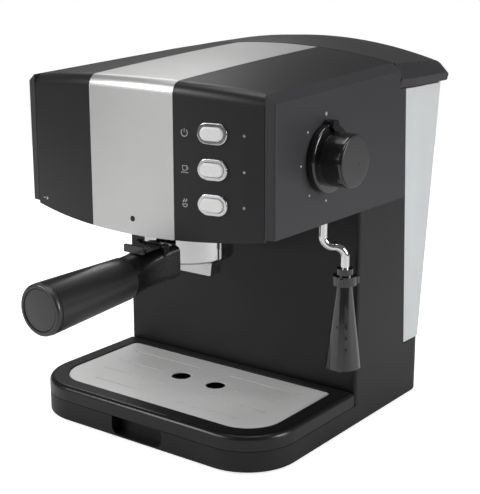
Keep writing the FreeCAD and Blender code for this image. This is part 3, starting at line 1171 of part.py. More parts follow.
# --- inside: frame, pump, hoses, board, gland ---
SHEET_T = 1.6


def make_insides():
    low = HEAD_BOTTOM_Z + WALL + 0.3
    high = low + SHEET_T
    side_x = PANEL_HALF_W - 9
    back_y = COLUMN_FRONT_Y + 2
    begin_y = front_y(side_x) + PANEL_WALL + 1.8
    frame = box(-side_x, side_x, begin_y, back_y, low, high)
    frame = frame.fuse(box(-side_x, -side_x + SHEET_T, begin_y, back_y, low, low + 38.8))
    frame = frame.fuse(box(-side_x, side_x, back_y - SHEET_T, back_y, low, low + 54.8))
    frame = frame.cut(box(PUMP_X - 8, PUMP_X + 8, back_y - 8, back_y + 2, low + 30.8, low + 64.8))
    frame = frame.cut(rod((0, GROUP_Y, low - 5), (0, GROUP_Y, low + 5), SKIRT_R + 0.5))
    frame = frame.cut(rod((WAND_X, WAND_Y, low - 5), (WAND_X, WAND_Y, low + 45), BALL_R + 3.8))
    for side_x in (-1, 1):
        for side_y in (-1, 1):
            x = side_x * SKIRT_R * 0.78
            y = GROUP_Y + side_y * SKIRT_R * 0.78
            bracket = box(min(x, x + side_x * 16), max(x, x + side_x * 16), y - 5, y + 5, high, high + SHEET_T)
            frame = frame.fuse(bracket.cut(rod((0, GROUP_Y, low - 5), (0, GROUP_Y, low + 15), SKIRT_R + 0.3)))
    add("chassis_frame", frame.removeSplitter())

    axis = (PUMP_X, PUMP_Y)
    barrel = rod((*axis, 66), (*axis, 142), PUMP_R).fuse(rod((*axis, 142), (*axis, 152), 4.0))
    barrel = barrel.fuse(rod((*axis, 56), (*axis, 66), 4.0)).fuse(rod((*axis, 70), (*axis, 84), 16.0))
    barrel = barrel.cut(rod((*axis, 50), (*axis, 160), 2.0))
    add("pump_body", barrel.removeSplitter())
    coil = box(PUMP_X - 18, PUMP_X + 18, PUMP_Y - 18, PUMP_Y + 18, 86, 130)
    add("pump_coil", coil.cut(rod((*axis, 80), (*axis, 140), PUMP_R + 0.2)))
    wall_y = COLUMN_FRONT_Y + WALL
    shelf = box(PUMP_X - 22, PUMP_X + 22, wall_y, PUMP_Y + 18, 132.5, 134.5)
    shelf = shelf.cut(rod((*axis, 130), (*axis, 140), PUMP_R + 0.3))
    add("pump_mount", joined(shelf, box(PUMP_X - 22, PUMP_X + 22, wall_y, wall_y + 2, 110, 134.5)))

    hose_z = PEDESTAL_TOP_Z - 21
    route = [(0, TANK_SOCKET_Y, hose_z), (0, TANK_SOCKET_Y, hose_z - 6), (*axis, 34), (*axis, 56)]
    inlet = pipe(route, 3.4, 3.6)
    add("inlet_hose", inlet)
    feed_z = GROUP_TOP_Z + FEED_H
    outlet = pipe([(PUMP_X, PUMP_Y, 152), (PUMP_X, PUMP_Y, feed_z), (PUMP_X, FEED_Y, feed_z),
                   (-BOILER_R + 3, FEED_Y, feed_z)], 2.6, 6.0)
    add("pump_outlet_tube", outlet)

    board_z = low + 4.8
    board = box(4, 84, back_y, back_y + SHEET_T, board_z, board_z + 46)
    face_y = back_y + SHEET_T
    relay = box(10, 30, face_y, face_y + 15.4, board_z + 6, board_z + 22)
    fuse = box(38, 60, face_y, face_y + 7.4, board_z + 4, board_z + 12)
    capacitor = rod((70, face_y, board_z + 28), (70, face_y + 22.4, board_z + 28), 7.0)
    add("control_board", joined(board, relay, fuse, capacitor))

    gland = rod((GLAND_X, BASE_D - 8, GLAND_Z), (GLAND_X, BASE_D, GLAND_Z), GLAND_R - 0.1)
    sleeve_end = (GLAND_X, BASE_D + 7, GLAND_Z)
    gland = gland.fuse(taper((GLAND_X, BASE_D, GLAND_Z), sleeve_end, GLAND_R + 2.5, GLAND_R))
    gland = gland.cut(rod((GLAND_X, BASE_D - 9, GLAND_Z), (GLAND_X, BASE_D + 8, GLAND_Z), 3.6))
    add("cord_gland", gland.removeSplitter())


def export():
    os.makedirs("parts", exist_ok=True)
    for name, shape in nodes.items():
        moved = shape.copy()
        moved.translate(ORIGIN * -1)
        moved.exportStep("parts/" + name + ".step")


make_base()
make_column()
make_front_panels()
make_side_covers()
make_head_closures()
make_tray()
make_group()
make_filter_holder()
make_handle()
make_steam()
make_buttons()
make_tank()
make_lid()
make_insides()
export()
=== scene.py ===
"""Finishes, small marks, stage and lights for a home espresso machine.

Laid out as a Blender add-on. Lengths are in metres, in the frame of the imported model:
+Z up, +Y to the back, +X to the side with the steam knob.
"""
import math

import bpy
from bpy.props import FloatProperty, FloatVectorProperty, PointerProperty
from mathutils import Matrix, Vector


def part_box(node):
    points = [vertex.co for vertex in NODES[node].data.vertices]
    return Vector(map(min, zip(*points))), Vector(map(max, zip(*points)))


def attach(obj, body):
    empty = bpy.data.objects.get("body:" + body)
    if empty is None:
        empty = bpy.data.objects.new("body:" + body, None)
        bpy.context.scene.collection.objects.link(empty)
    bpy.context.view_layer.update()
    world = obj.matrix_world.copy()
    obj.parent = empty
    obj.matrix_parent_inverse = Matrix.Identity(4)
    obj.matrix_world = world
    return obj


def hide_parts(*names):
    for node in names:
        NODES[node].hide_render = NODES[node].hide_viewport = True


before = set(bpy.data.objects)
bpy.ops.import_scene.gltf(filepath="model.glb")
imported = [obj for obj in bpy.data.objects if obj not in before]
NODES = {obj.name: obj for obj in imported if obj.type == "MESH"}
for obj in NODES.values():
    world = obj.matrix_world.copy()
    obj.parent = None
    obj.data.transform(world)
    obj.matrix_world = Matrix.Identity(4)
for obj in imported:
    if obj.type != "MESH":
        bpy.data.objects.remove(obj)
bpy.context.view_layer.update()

bl_info = {
    "name": "Espresso machine finishes",
    "version": (1, 0, 0),
    "blender": (4, 5, 0),
    "location": "3D View > Sidebar > Espresso",
    "description": "Finishes, marks, stage and lights for an espresso machine",
    "category": "Object",
}

MM = 0.001


# --- places read from the model ---
def low(node):
    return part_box(node)[0]


def high(node):
    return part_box(node)[1]


MID_X = (low("centre_panel").x + high("centre_panel").x) / 2
FRONT_Y = low("centre_panel").y           # foremost line of the bowed front
FRONT_BOW_R = 0.416                       # the front's bow, seen from above
HEAD_BOTTOM_Z = low("head_underside").z
MARK_SINK = 0.06 * MM                     # how deep a mark's foot stands in its panel
SIDE_X = high("right_side_cover").x
KNOB = (low("knob_face") + high("knob_face")) / 2
BUTTONS = ("power_button", "brew_button", "steam_button")
BRASS = (0.62, 0.42, 0.17, 1.0)
BLACK = (0.0, 0.0, 0.0, 1.0)
WHITE = (1.0, 1.0, 1.0, 1.0)


# --- sizes and colours that a user would change ---
def colour(name, text, value):
    return FloatVectorProperty(name=name, description=text, default=value, size=4, subtype="COLOR",
                               min=0.0, max=1.0)


class EspressoFinish(bpy.types.PropertyGroup):
    """Colours of the machine's finishes."""
    housing: colour("Housing", "Black moulded housings", (0.0075, 0.0075, 0.0078, 1.0))
    panel: colour("Front panels", "Charcoal front and top panels", (0.0155, 0.0155, 0.0165, 1.0))
    side: colour("Side covers", "Charcoal side covers", (0.038, 0.038, 0.042, 1.0))
    silver: colour("Centre panel", "Silver paint on the centre panel", (0.64, 0.64, 0.635, 1.0))
    lid: colour("Tank lid", "Charcoal lid of the water tank", (0.034, 0.034, 0.037, 1.0))
    tank: colour("Water tank", "Frosted plastic of the water tank", (0.74, 0.75, 0.76, 1.0))
    button: colour("Buttons", "Pearl white of the push buttons", (0.86, 0.86, 0.85, 1.0))
    steel: colour("Steel", "Satin stainless steel", (0.58, 0.58, 0.575, 1.0))
    chrome: colour("Chrome", "Plating of the filter holder and wand", (0.66, 0.66, 0.67, 1.0))
    mark: colour("Marks", "Printed marks on the dark panels", (0.42, 0.42, 0.43, 1.0))


class EspressoSizes(bpy.types.PropertyGroup):
    """Sizes of the marks, the stage and the camera."""
    mark_height: FloatProperty(name="Mark height", description="How far a printed mark stands proud",
                               default=0.00012, unit="LENGTH")
    mark_line: FloatProperty(name="Line width", description="Line width of the printed symbols",
                             default=0.0006, unit="LENGTH")
    symbol_size: FloatProperty(name="Symbol size", description="Width of a printed symbol",
                               default=0.0056, unit="LENGTH")
    knob_dot: FloatProperty(name="Dot radius", description="Radius of the dots round the steam knob",
                            default=0.0009, unit="LENGTH")
    dot_circle: FloatProperty(name="Dot circle", description="Radius of the circle that the dots lie on",
                              default=0.031, unit="LENGTH")
    floor_size: FloatProperty(name="Floor size", description="Width of the round floor",
                              default=2.7, unit="LENGTH")
    lens: FloatProperty(name="Lens", description="Focal length of the camera in millimetres",
                        default=84.3, unit="CAMERA")


# --- shader expressions ---
class Val:
    """A socket that carries a number; arithmetic on it adds Math nodes."""

    def __init__(self, finish, socket):
        self.finish = finish
        self.socket = socket

    def math(self, operation, *others):
        node = self.finish.node("ShaderNodeMath", {"operation": operation}, {})
        for index, value in enumerate((self,) + others):
            self.finish.feed(node.inputs[index], value)
        return Val(self.finish, node.outputs[0])

    def __add__(self, other):
        return self.math("ADD", other)

    __radd__ = __add__

    def __sub__(self, other):
        return self.math("SUBTRACT", other)

    def __rsub__(self, other):
        return (self * -1.0).math("ADD", other)

    def __mul__(self, other):
        return self.math("MULTIPLY", other)

    __rmul__ = __mul__

    def clamp(self, lowest=0.0, highest=1.0):
        return self.math("MAXIMUM", lowest).math("MINIMUM", highest)


class Finish:
    """A material under construction, with its Principled shader."""

    def __init__(self, name, **constants):
        self.material = bpy.data.materials.new(name)
        self.material.use_nodes = True
        self.tree = self.material.node_tree
        self.shader = self.tree.nodes["Principled BSDF"]
        for socket, value in constants.items():
            self.shader.inputs[socket.replace("_", " ")].default_value = value
        coordinates = self.node("ShaderNodeTexCoord", {}, {})
        self.place = coordinates.outputs["Object"]

    def feed(self, socket, value):
        if isinstance(value, Val):
            self.tree.links.new(value.socket, socket)
        elif isinstance(value, bpy.types.NodeSocket):
            self.tree.links.new(value, socket)
        else:
            socket.default_value = value

    def node(self, kind, settings, sockets):
        made = self.tree.nodes.new(kind)
        for name, value in settings.items():
            setattr(made, name, value)
        for name, value in sockets.items():
            self.feed(made.inputs[name], value)
        return made

    def stretched(self, scale, turn=(0.0, 0.0, 0.0)):
        mapped = self.node("ShaderNodeMapping", {}, {"Vector": self.place, "Scale": scale, "Rotation": turn})
        return mapped.outputs[0]

    def noise(self, scale, detail=3.0, roughness=0.55, vector=None):
        sockets = {"Vector": vector or self.place, "Scale": scale, "Detail": detail, "Roughness": roughness}
        return Val(self, self.node("ShaderNodeTexNoise", {}, sockets).outputs[0])

    def cells(self, scale, feature="F1", randomness=1.0):
        sockets = {"Vector": self.place, "Scale": scale, "Randomness": randomness}
        made = self.node("ShaderNodeTexVoronoi", {"feature": feature}, sockets)
        return Val(self, made.outputs["Distance"])

    def between(self, mask, start, end):
        """0 below start, 1 above end."""
        sockets = {"Value": mask, "From Min": start, "From Max": end}
        return Val(self, self.node("ShaderNodeMapRange", {"clamp": True}, sockets).outputs[0])

    def mix(self, mask, first, second):
        """Blends two colours; a Mix node lists its colour sockets as A and B after the others."""
        made = self.node("ShaderNodeMix", {"data_type": "RGBA"}, {0: mask, 6: first, 7: second})
        return made.outputs[2]

    def bump(self, height, strength, distance):
        sockets = {"Height": height, "Strength": strength, "Distance": distance}
        return self.node("ShaderNodeBump", {}, sockets).outputs[0]

    def set(self, **sockets):
        for name, value in sockets.items():
            self.feed(self.shader.inputs[name.replace("_", " ")], value)
        return self.material


def scaled(rgba, factor):
    return tuple(min(channel * factor, 1.0) for channel in rgba[:3]) + (1.0,)


def moulded(name, rgba, rough, grain=2600.0, depth=0.00004, coat=0.0, specular=0.36):
    """Spark-eroded plastic: fine grain, slow drift in colour and gloss, and rubbed patches."""
    finish = Finish(name, Coat_Weight=coat, Coat_Roughness=0.12, Specular_IOR_Level=specular)
    drift = finish.noise(14.0, 2.0)
    pits = finish.cells(grain, "SMOOTH_F1")
    fine = finish.noise(grain * 0.62, 2.0)
    tone = (drift * 0.7 + fine * 0.3).clamp()
    shade = finish.mix(tone, scaled(rgba, 0.84), scaled(rgba, 1.16))
    scuffs = finish.between(finish.noise(95.0, 5.0, 0.7), 0.60, 0.74)
    roughness = (drift * 0.08 + fine * 0.06 + (rough - 0.07) - scuffs * 0.05).clamp(0.03, 0.95)
    return finish.set(Base_Color=shade, Roughness=roughness,
                      Normal=finish.bump(pits + fine * 0.5, 0.35, depth))


def glossy(name, rgba, rough=0.12, coat=0.6):
    """Polished plastic with faint moulding waves and hairline scratches."""
    finish = Finish(name, Coat_Weight=coat, Coat_Roughness=0.05, IOR=1.5)
    waves = finish.noise(38.0, 1.0)
    hair = finish.noise(900.0, 2.0, 0.5, finish.stretched((1.0, 0.07, 0.4), (0.2, 0.5, 0.7)))
    lines = finish.between(hair, 0.63, 0.72)
    dust = finish.between(finish.noise(2400.0, 1.0), 0.68, 0.8)
    shade = finish.mix((lines * 0.3 + dust * 0.35).clamp(), rgba, scaled(rgba, 1.9))
    roughness = (waves * 0.05 + lines * 0.16 + dust * 0.12 + (rough - 0.025)).clamp()
    return finish.set(Base_Color=shade, Roughness=roughness, Normal=finish.bump(waves, 0.05, 0.0004))


def brushed(name, rgba, rough=0.3, along="x", scale=900.0, metallic=1.0, strength=0.12, contrast=0.12):
    """Metal brushed along one axis."""
    stretch = {"x": (0.02, 1.0, 1.0), "y": (1.0, 0.02, 1.0), "z": (1.0, 1.0, 0.02)}[along]
    finish = Finish(name, Metallic=metallic)
    streaks = finish.noise(scale, 4.0, 0.6, finish.stretched(stretch))
    patches = finish.noise(11.0, 2.0)
    smudge = finish.between(finish.noise(42.0, 4.0, 0.6), 0.5, 0.72)
    tone = (streaks * 0.75 + patches * 0.25).clamp()
    shade = finish.mix(tone, scaled(rgba, 1 - contrast), scaled(rgba, 1 + contrast))
    roughness = (streaks * 0.14 + smudge * 0.08 + (rough - 0.09)).clamp()
    return finish.set(Base_Color=shade, Roughness=roughness, Normal=finish.bump(streaks, strength, 0.00005))


def plated(name, rgba, rough=0.06):
    """Bright plating with slight waviness, fingerprints and fine scratches."""
    finish = Finish(name, Metallic=1.0)
    waves = finish.noise(55.0, 2.0)
    prints = finish.between(finish.noise(120.0, 5.0, 0.65), 0.54, 0.7)
    hair = finish.between(finish.noise(1500.0, 2.0, 0.5, finish.stretched((1.0, 0.05, 1.0))), 0.62, 0.74)
    shade = finish.mix((prints * 0.5 + hair * 0.3).clamp(), rgba, scaled(rgba, 0.86))
    roughness = (waves * 0.03 + prints * 0.07 + hair * 0.08 + rough).clamp()
    return finish.set(Base_Color=shade, Roughness=roughness, Normal=finish.bump(waves, 0.06, 0.0003))


def cast(name, rgba, rough=0.45):
    """Die-cast metal with a pebbled skin."""
    finish = Finish(name, Metallic=1.0)
    pebbles = finish.cells(700.0, "SMOOTH_F1")
    stain = finish.noise(26.0, 4.0)
    shade = finish.mix(stain, scaled(rgba, 0.72), scaled(rgba, 1.12))
    roughness = (stain * 0.2 + pebbles * 0.1 + (rough - 0.14)).clamp()
    return finish.set(Base_Color=shade, Roughness=roughness, Normal=finish.bump(pebbles, 0.4, 0.00012))


def silver_paint(name, rgba):
    """Silver lacquer with small flakes under a thin satin coat."""
    finish = Finish(name, Metallic=0.82, Coat_Weight=0.2, Coat_Roughness=0.25)
    flakes = finish.cells(3800.0)
    drift = finish.noise(9.0, 2.0)
    peel = finish.noise(420.0, 2.0)
    tone = (flakes * 0.55 + drift * 0.45).clamp()
    shade = finish.mix(tone, scaled(rgba, 0.9), scaled(rgba, 1.12))
    roughness = (flakes * 0.1 + drift * 0.05 + 0.33).clamp()
    return finish.set(Base_Color=shade, Roughness=roughness,
                      Normal=finish.bump(peel + flakes * 0.4, 0.08, 0.00005))


def frosted(name, rgba):
    """Milky tank wall: pale, soft, a little light passing through, faint flow lines."""
    finish = Finish(name, IOR=1.46, Transmission_Weight=0.12, Subsurface_Weight=0.35, Subsurface_Scale=0.006)
    flow = finish.noise(30.0, 3.0, 0.5, finish.stretched((1.0, 1.0, 0.18)))
    frost = finish.noise(2200.0, 2.0)
    shade = finish.mix((flow * 0.8 + frost * 0.2).clamp(), scaled(rgba, 0.93), scaled(rgba, 1.05))
    roughness = (flow * 0.08 + frost * 0.08 + 0.34).clamp()
    return finish.set(Base_Color=shade, Roughness=roughness, Normal=finish.bump(frost, 0.15, 0.00005))


def rubbery(name, rgba, rough=0.8):
    """Matt rubber, soft hose or printing ink, with a faint bloom."""
    finish = Finish(name, Specular_IOR_Level=0.3)
    grain = finish.noise(1800.0, 3.0)
    bloom = finish.noise(60.0, 4.0, 0.6)
    shade = finish.mix(bloom, scaled(rgba, 0.8), scaled(rgba, 1.35))
    return finish.set(Base_Color=shade, Roughness=(bloom * 0.14 + (rough - 0.07)).clamp(),
                      Normal=finish.bump(grain, 0.3, 0.0001))


def board_green(name):
    """Circuit board: green mask over faint copper tracks."""
    finish = Finish(name, Coat_Weight=0.2)
    tracks = finish.between(finish.cells(300.0, "F1", 0.0), 0.32, 0.36)
    weave = finish.noise(1500.0, 2.0)
    shade = finish.mix(tracks, (0.02, 0.09, 0.04, 1.0), (0.035, 0.15, 0.06, 1.0))
    return finish.set(Base_Color=shade, Roughness=(weave * 0.15 + 0.32).clamp(),
                      Normal=finish.bump(tracks, 0.2, 0.0001))


def paint(names, material):
    """Gives a material to every slot of the named parts."""
    for name in names:
        mesh = NODES[name].data
        if mesh.materials:
            for index in range(len(mesh.materials)):
                mesh.materials[index] = material
        else:
            mesh.materials.append(material)


# --- modelling helpers ---
def deselect():
    if bpy.context.mode != "OBJECT":
        bpy.ops.object.mode_set(mode="OBJECT")
    bpy.ops.object.select_all(action="DESELECT")


def editing(action):
    """Runs action() in edit mode on the active piece, with everything selected."""
    bpy.ops.object.mode_set(mode="EDIT")
    bpy.ops.mesh.select_all(action="SELECT")
    action()
    bpy.ops.object.mode_set(mode="OBJECT")


def pick(*pieces):
    """Selects these pieces alone, the first one active."""
    deselect()
    for piece in pieces:
        piece.select_set(True)
    bpy.context.view_layer.objects.active = pieces[0]


def apply_place():
    """Puts the active piece's place, turn and scale into its mesh."""
    bpy.ops.object.transform_apply(location=True, rotation=True, scale=True)


def clean_skin(merge):
    """In edit mode: merges doubled points and turns all faces outwards."""
    bpy.ops.mesh.remove_doubles(threshold=merge)
    bpy.ops.mesh.normals_make_consistent(inside=False)


def join(pieces):
    pick(*pieces)
    if len(pieces) > 1:
        bpy.ops.object.join()
    return pieces[0]


def finish_piece(piece, name, material, body):
    """Settles a modelled piece: clean mesh at the origin, name, material, body and slot."""
    pick(piece)
    apply_place()
    editing(lambda: clean_skin(0.000002))
    piece.name = name
    piece.data.name = name
    piece.data.materials.clear()
    piece.data.materials.append(material)
    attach(piece, body)


def smooth(piece):
    pick(piece)
    bpy.ops.object.shade_smooth_by_angle(angle=math.radians(40.0))


def soften_rim(piece, width):
    bevel = piece.modifiers.new("edges", "BEVEL")
    bevel.width = width
    bevel.segments = 2
    bevel.limit_method = "ANGLE"
    bpy.context.view_layer.objects.active = piece
    bpy.ops.object.modifier_apply(modifier=bevel.name)


# Marks are drawn flat: x to the right, y up, z out of the panel. They are then stood up on it.
SAME = 1e-7               # closer than this, two coordinates are one


def bar(x0, y0, x1, y1, width, height):
    """A straight inked line with rounded ends between two points."""
    length = math.hypot(x1 - x0, y1 - y0)
    angle = math.atan2(y1 - y0, x1 - x0)
    deselect()
    bpy.ops.mesh.primitive_cube_add(size=1.0)
    piece = bpy.context.active_object
    piece.scale = (length + width, width, height)
    bpy.ops.object.transform_apply(location=False, rotation=False, scale=True)

    def round_ends():
        bpy.ops.mesh.select_all(action="DESELECT")
        bpy.ops.object.mode_set(mode="OBJECT")
        for edge in piece.data.edges:
            a, b = (piece.data.vertices[i].co for i in edge.vertices)
            edge.select = abs(a.x - b.x) < SAME and abs(a.y - b.y) < SAME
        bpy.ops.object.mode_set(mode="EDIT")
        bpy.ops.mesh.bevel(offset=width * 0.48, segments=4, affect="EDGES")

    editing(round_ends)
    piece.rotation_euler = (0, 0, angle)
    piece.location = ((x0 + x1) / 2, (y0 + y1) / 2, height / 2)
    apply_place()
    return piece


def arc(x, y, radius, start_deg, turn_deg, width, height, steps=28):
    """An inked arc: a small face spun about a centre. Spin turns clockwise, so it starts at the arc's end."""
    deselect()
    bpy.ops.mesh.primitive_plane_add(size=1.0)
    piece = bpy.context.active_object
    piece.scale = (width, height, 1.0)
    piece.rotation_euler = (math.pi / 2, 0, 0)
    piece.location = (radius, 0, height / 2)
    apply_place()
    editing(lambda: bpy.ops.mesh.spin(steps=steps, angle=math.radians(turn_deg), center=(0, 0, 0),
                                      axis=(0, 0, 1), use_auto_merge=False))
    piece.rotation_euler = (0, 0, math.radians(start_deg + turn_deg))
    piece.location = (x, y, 0)
    apply_place()
    return piece


def spot(x, y, radius, height, sides=28, turn=0.0):
    """An inked spot with a softened rim."""
    deselect()
    bpy.ops.mesh.primitive_cylinder_add(vertices=sides, radius=radius, depth=height,
                                        location=(x, y, height / 2), rotation=(0, 0, turn))
    piece = bpy.context.active_object
    soften_rim(piece, height * 0.3)
    apply_place()
    return piece


def triangle(x, y, size, height):
    """A small inked triangle that points to the right."""
    return spot(x, y, size, height, sides=3, turn=-math.pi / 2)


def on_front(piece, x, z):
    """Stands a flat mark up on the bowed front, at a distance from the middle and a height."""
    y = FRONT_Y + FRONT_BOW_R - math.sqrt(FRONT_BOW_R ** 2 - x * x)
    upright = Matrix.Rotation(math.pi / 2, 4, "X")
    along_bow = Matrix.Rotation(math.asin(x / FRONT_BOW_R), 4, "Z")
    place = Matrix.Translation((MID_X + x, y, z))
    piece.data.transform(place @ along_bow @ Matrix.Translation((0, MARK_SINK, 0)) @ upright)
    return piece


def on_side(piece, y, z):
    """Stands a flat mark up on the right side cover."""
    upright = Matrix.Rotation(math.pi / 2, 4, "Z") @ Matrix.Rotation(math.pi / 2, 4, "X")
    piece.data.transform(Matrix.Translation((SIDE_X - MARK_SINK, y, z)) @ upright)
    return piece


def finishes():
    return bpy.context.scene.espresso_finish


def sizes():
    return bpy.context.scene.espresso_sizes


# --- operators: the machine's own parts ---
class ESPRESSO_OT_housings(bpy.types.Operator):
    """Black housings, base, tray, feet and their screws"""
    bl_idname = "espresso.housings"
    bl_label = "Housings and tray"

    def execute(self, context):
        look = finishes()
        paint(("base_housing", "column_housing", "tank_pedestal"),
              moulded("housing_black", look.housing, 0.42))
        paint(("head_underside",), moulded("inner_black", scaled(look.housing, 0.8), 0.55))
        paint(("drip_tray",),
              moulded("tray_black", scaled(look.housing, 0.95), 0.30, grain=2200.0, coat=0.15))
        paint(("base_plate",), moulded("plate_black", scaled(look.housing, 0.8), 0.6))
        paint(("rubber_feet", "group_gasket", "valve_seal"), rubbery("rubber", (0.02, 0.02, 0.02, 1.0)))
        paint(("base_screws", "group_screws"), brushed("screw_steel", (0.5, 0.5, 0.5, 1.0), 0.35))
        paint(("cord_gland",), rubbery("gland_black", (0.015, 0.015, 0.015, 1.0), 0.6))
        return {"FINISHED"}


class ESPRESSO_OT_panels(bpy.types.Operator):
    """Front panels, side covers and the silver centre panel"""
    bl_idname = "espresso.panels"
    bl_label = "Panels"

    def execute(self, context):
        look = finishes()
        paint(("left_front_panel", "right_front_panel"), moulded("panel_charcoal", look.panel, 0.36))
        paint(("left_side_cover", "right_side_cover", "head_back_panel"),
              moulded("side_charcoal", look.side, 0.44))
        paint(("centre_panel",), silver_paint("panel_silver", look.silver))
        return {"FINISHED"}


class ESPRESSO_OT_controls(bpy.types.Operator):
    """Push buttons, their rings and lamps, and the steam knob"""
    bl_idname = "espresso.controls"
    bl_label = "Buttons and knob"

    def execute(self, context):
        look = finishes()
        paint(BUTTONS, glossy("button_pearl", look.button, 0.2, 0.4))
        paint(("button_bezels",), plated("bezel_chrome", (0.62, 0.62, 0.64, 1.0), 0.1))
        paint(("indicator_lenses",), glossy("lamp_red", (0.34, 0.25, 0.25, 1.0), 0.2))
        paint(("switches",), moulded("switch_black", (0.03, 0.03, 0.03, 1.0), 0.5))
        paint(("steam_knob",), glossy("knob_gloss", (0.008, 0.008, 0.009, 1.0), 0.14, 0.7))
        paint(("knob_face",), moulded("knob_satin", (0.016, 0.016, 0.017, 1.0), 0.33))
        paint(("valve_stem", "steam_valve_body"), brushed("valve_brass", BRASS, 0.3))
        return {"FINISHED"}


class ESPRESSO_OT_holder(bpy.types.Operator):
    """Filter holder, its grip, the basket and the clip"""
    bl_idname = "espresso.holder"
    bl_label = "Filter holder"

    def execute(self, context):
        look = finishes()
        paint(("portafilter_bowl",), plated("holder_chrome", look.chrome, 0.07))
        paint(("spout",), plated("spout_chrome", scaled(look.chrome, 0.8), 0.2))
        paint(("handle_neck",),
              moulded("neck_black", (0.008, 0.008, 0.008, 1.0), 0.28, grain=1900.0, specular=0.5))
        paint(("handle_grip",),
              moulded("grip_black", (0.014, 0.014, 0.0145, 1.0), 0.3, grain=2100.0, specular=0.55))
        paint(("handle_end_cap",), moulded("cap_black", (0.020, 0.020, 0.021, 1.0), 0.32, grain=2400.0))
        paint(("basket_clip",), glossy("clip_black", (0.012, 0.012, 0.012, 1.0), 0.22, 0.3))
        paint(("filter_basket", "shower_screen"), brushed("screen_steel", look.steel, 0.28, "z"))
        return {"FINISHED"}


class ESPRESSO_OT_steam(bpy.types.Operator):
    """Steam wand, its ball joint, nozzle and frothing sleeve"""
    bl_idname = "espresso.steam"
    bl_label = "Steam wand"

    def execute(self, context):
        look = finishes()
        paint(("wand_tube", "steam_nozzle", "wand_nut"),
              plated("wand_chrome", scaled(look.chrome, 1.15), 0.08))
        paint(("frother_sleeve", "frother_collar"),
              glossy("sleeve_gloss", (0.008, 0.008, 0.008, 1.0), 0.13, 0.8))
        paint(("wand_socket",), brushed("socket_brass", BRASS, 0.3))
        paint(("steam_pipes",), brushed("pipe_steel", look.steel, 0.3, "z"))
        return {"FINISHED"}


class ESPRESSO_OT_grille(bpy.types.Operator):
    """Satin steel grille that the cups stand on: its pale colour is partly the grille's own and partly
    painted sheen
    """
    bl_idname = "espresso.grille"
    bl_label = "Drip grille"

    def execute(self, context):
        # Steel colour raised 1.6 times with almost no metal: partly the grille's own pale colour, partly
        # painted sheen and painted light that make it read bright under the head.
        steel = scaled(finishes().steel, 1.6)
        paint(("drip_grille",), brushed("grille_steel", steel, 0.4, "x", scale=1200.0, metallic=0.08,
                                        strength=0.08, contrast=0.07))
        return {"FINISHED"}


class ESPRESSO_OT_tank(bpy.types.Operator):
    """Water tank, its valve and lid"""
    bl_idname = "espresso.tank"
    bl_label = "Water tank"

    def execute(self, context):
        look = finishes()
        paint(("water_tank",), frosted("tank_milky", look.tank))
        paint(("tank_lid",), moulded("lid_grey", look.lid, 0.34))
        paint(("tank_valve", "tank_socket"), moulded("valve_white", (0.7, 0.7, 0.68, 1.0), 0.45))
        return {"FINISHED"}


class ESPRESSO_OT_insides(bpy.types.Operator):
    """Group head, boiler, pump, frame and board"""
    bl_idname = "espresso.insides"
    bl_label = "Insides"

    def execute(self, context):
        paint(("group_head", "boiler_lower", "boiler_upper"), cast("cast_aluminium", (0.55, 0.55, 0.56, 1.0)))
        paint(("heating_element",), cast("element_steel", (0.32, 0.3, 0.28, 1.0), 0.5))
        paint(("chassis_frame", "pump_mount"), brushed("frame_steel", (0.4, 0.41, 0.42, 1.0), 0.45, "y"))
        paint(("thermostats",), moulded("thermostat_grey", (0.4, 0.4, 0.38, 1.0), 0.5))
        paint(("pump_body",), moulded("pump_grey", (0.45, 0.45, 0.42, 1.0), 0.5))
        paint(("pump_coil",), moulded("coil_black", (0.03, 0.03, 0.03, 1.0), 0.4, coat=0.2))
        paint(("inlet_hose", "pump_outlet_tube"), rubbery("hose_clear", (0.55, 0.55, 0.52, 1.0), 0.45))
        paint(("control_board",), board_green("board_green"))
        return {"FINISHED"}


# --- operators: printed marks ---
# Each symbol is drawn about its middle, in parts of its width.
def symbol_power(width, line, height):
    """A ring open at the top, with an upright stroke in the gap."""
    radius = width * 0.44
    return join([arc(0, 0, radius, 125, 290, line, height),
                 bar(0, radius * 0.2, 0, radius * 1.15, line, height)])


def symbol_cup(width, line, height):
    """A cup with its ear, over a saucer."""
    rim = width * 0.32
    foot = rim * 0.8
    saucer = rim * 1.5
    saucer_y = -rim * 1.6
    return join([bar(-rim, rim, -foot, -foot, line, height),
                 bar(rim, rim, foot, -foot, line, height),
                 bar(-rim, rim, rim, rim, line, height),
                 bar(-foot, -foot, foot, -foot, line, height),
                 arc(rim, rim * 0.1, rim * 0.5, -80, 160, line, height, 14),
                 bar(-saucer, saucer_y, saucer, saucer_y, line, height)])


def symbol_steam(width, line, height):
    """A bowl with two curls of steam."""
    half = width * 0.3
    bowl = half * 1.15
    bowl_y = -half * 0.4
    curl = half * 0.34
    parts = [arc(0, bowl_y, bowl, 180, 180, line, height, 18), bar(-bowl, bowl_y, bowl, bowl_y, line, height)]
    for x in (-half * 0.55, half * 0.55):
        parts.append(arc(x, half * 0.7, curl, 90, 180, line, height, 10))
        parts.append(arc(x, half * 1.38, curl, -90, 180, line, height, 10))
    return join(parts)


SYMBOL_LEFT = 21.6 * MM                   # from a button's middle to its symbol
SYMBOL_DOWN = 0.8 * MM
INSERT_X = -95.5 * MM                     # the two holder marks, from the front's middle
INSERT_UP = 3.6 * MM                      # and above the head's bottom
LOCK_X = 1.8 * MM
LOCK_UP = 3.0 * MM
LOCK_R = 2.1 * MM
ARROW_SIZE = 1.6 * MM
ARROW_TAIL = (-5.2 * MM, -2.4 * MM)
# Degrees from the top of the knob towards the front, and size against a plain dot.
KNOB_DOTS = ((0, 1.5), (48, 1.0), (93, 1.0), (140, 1.0), (183, 1.0))


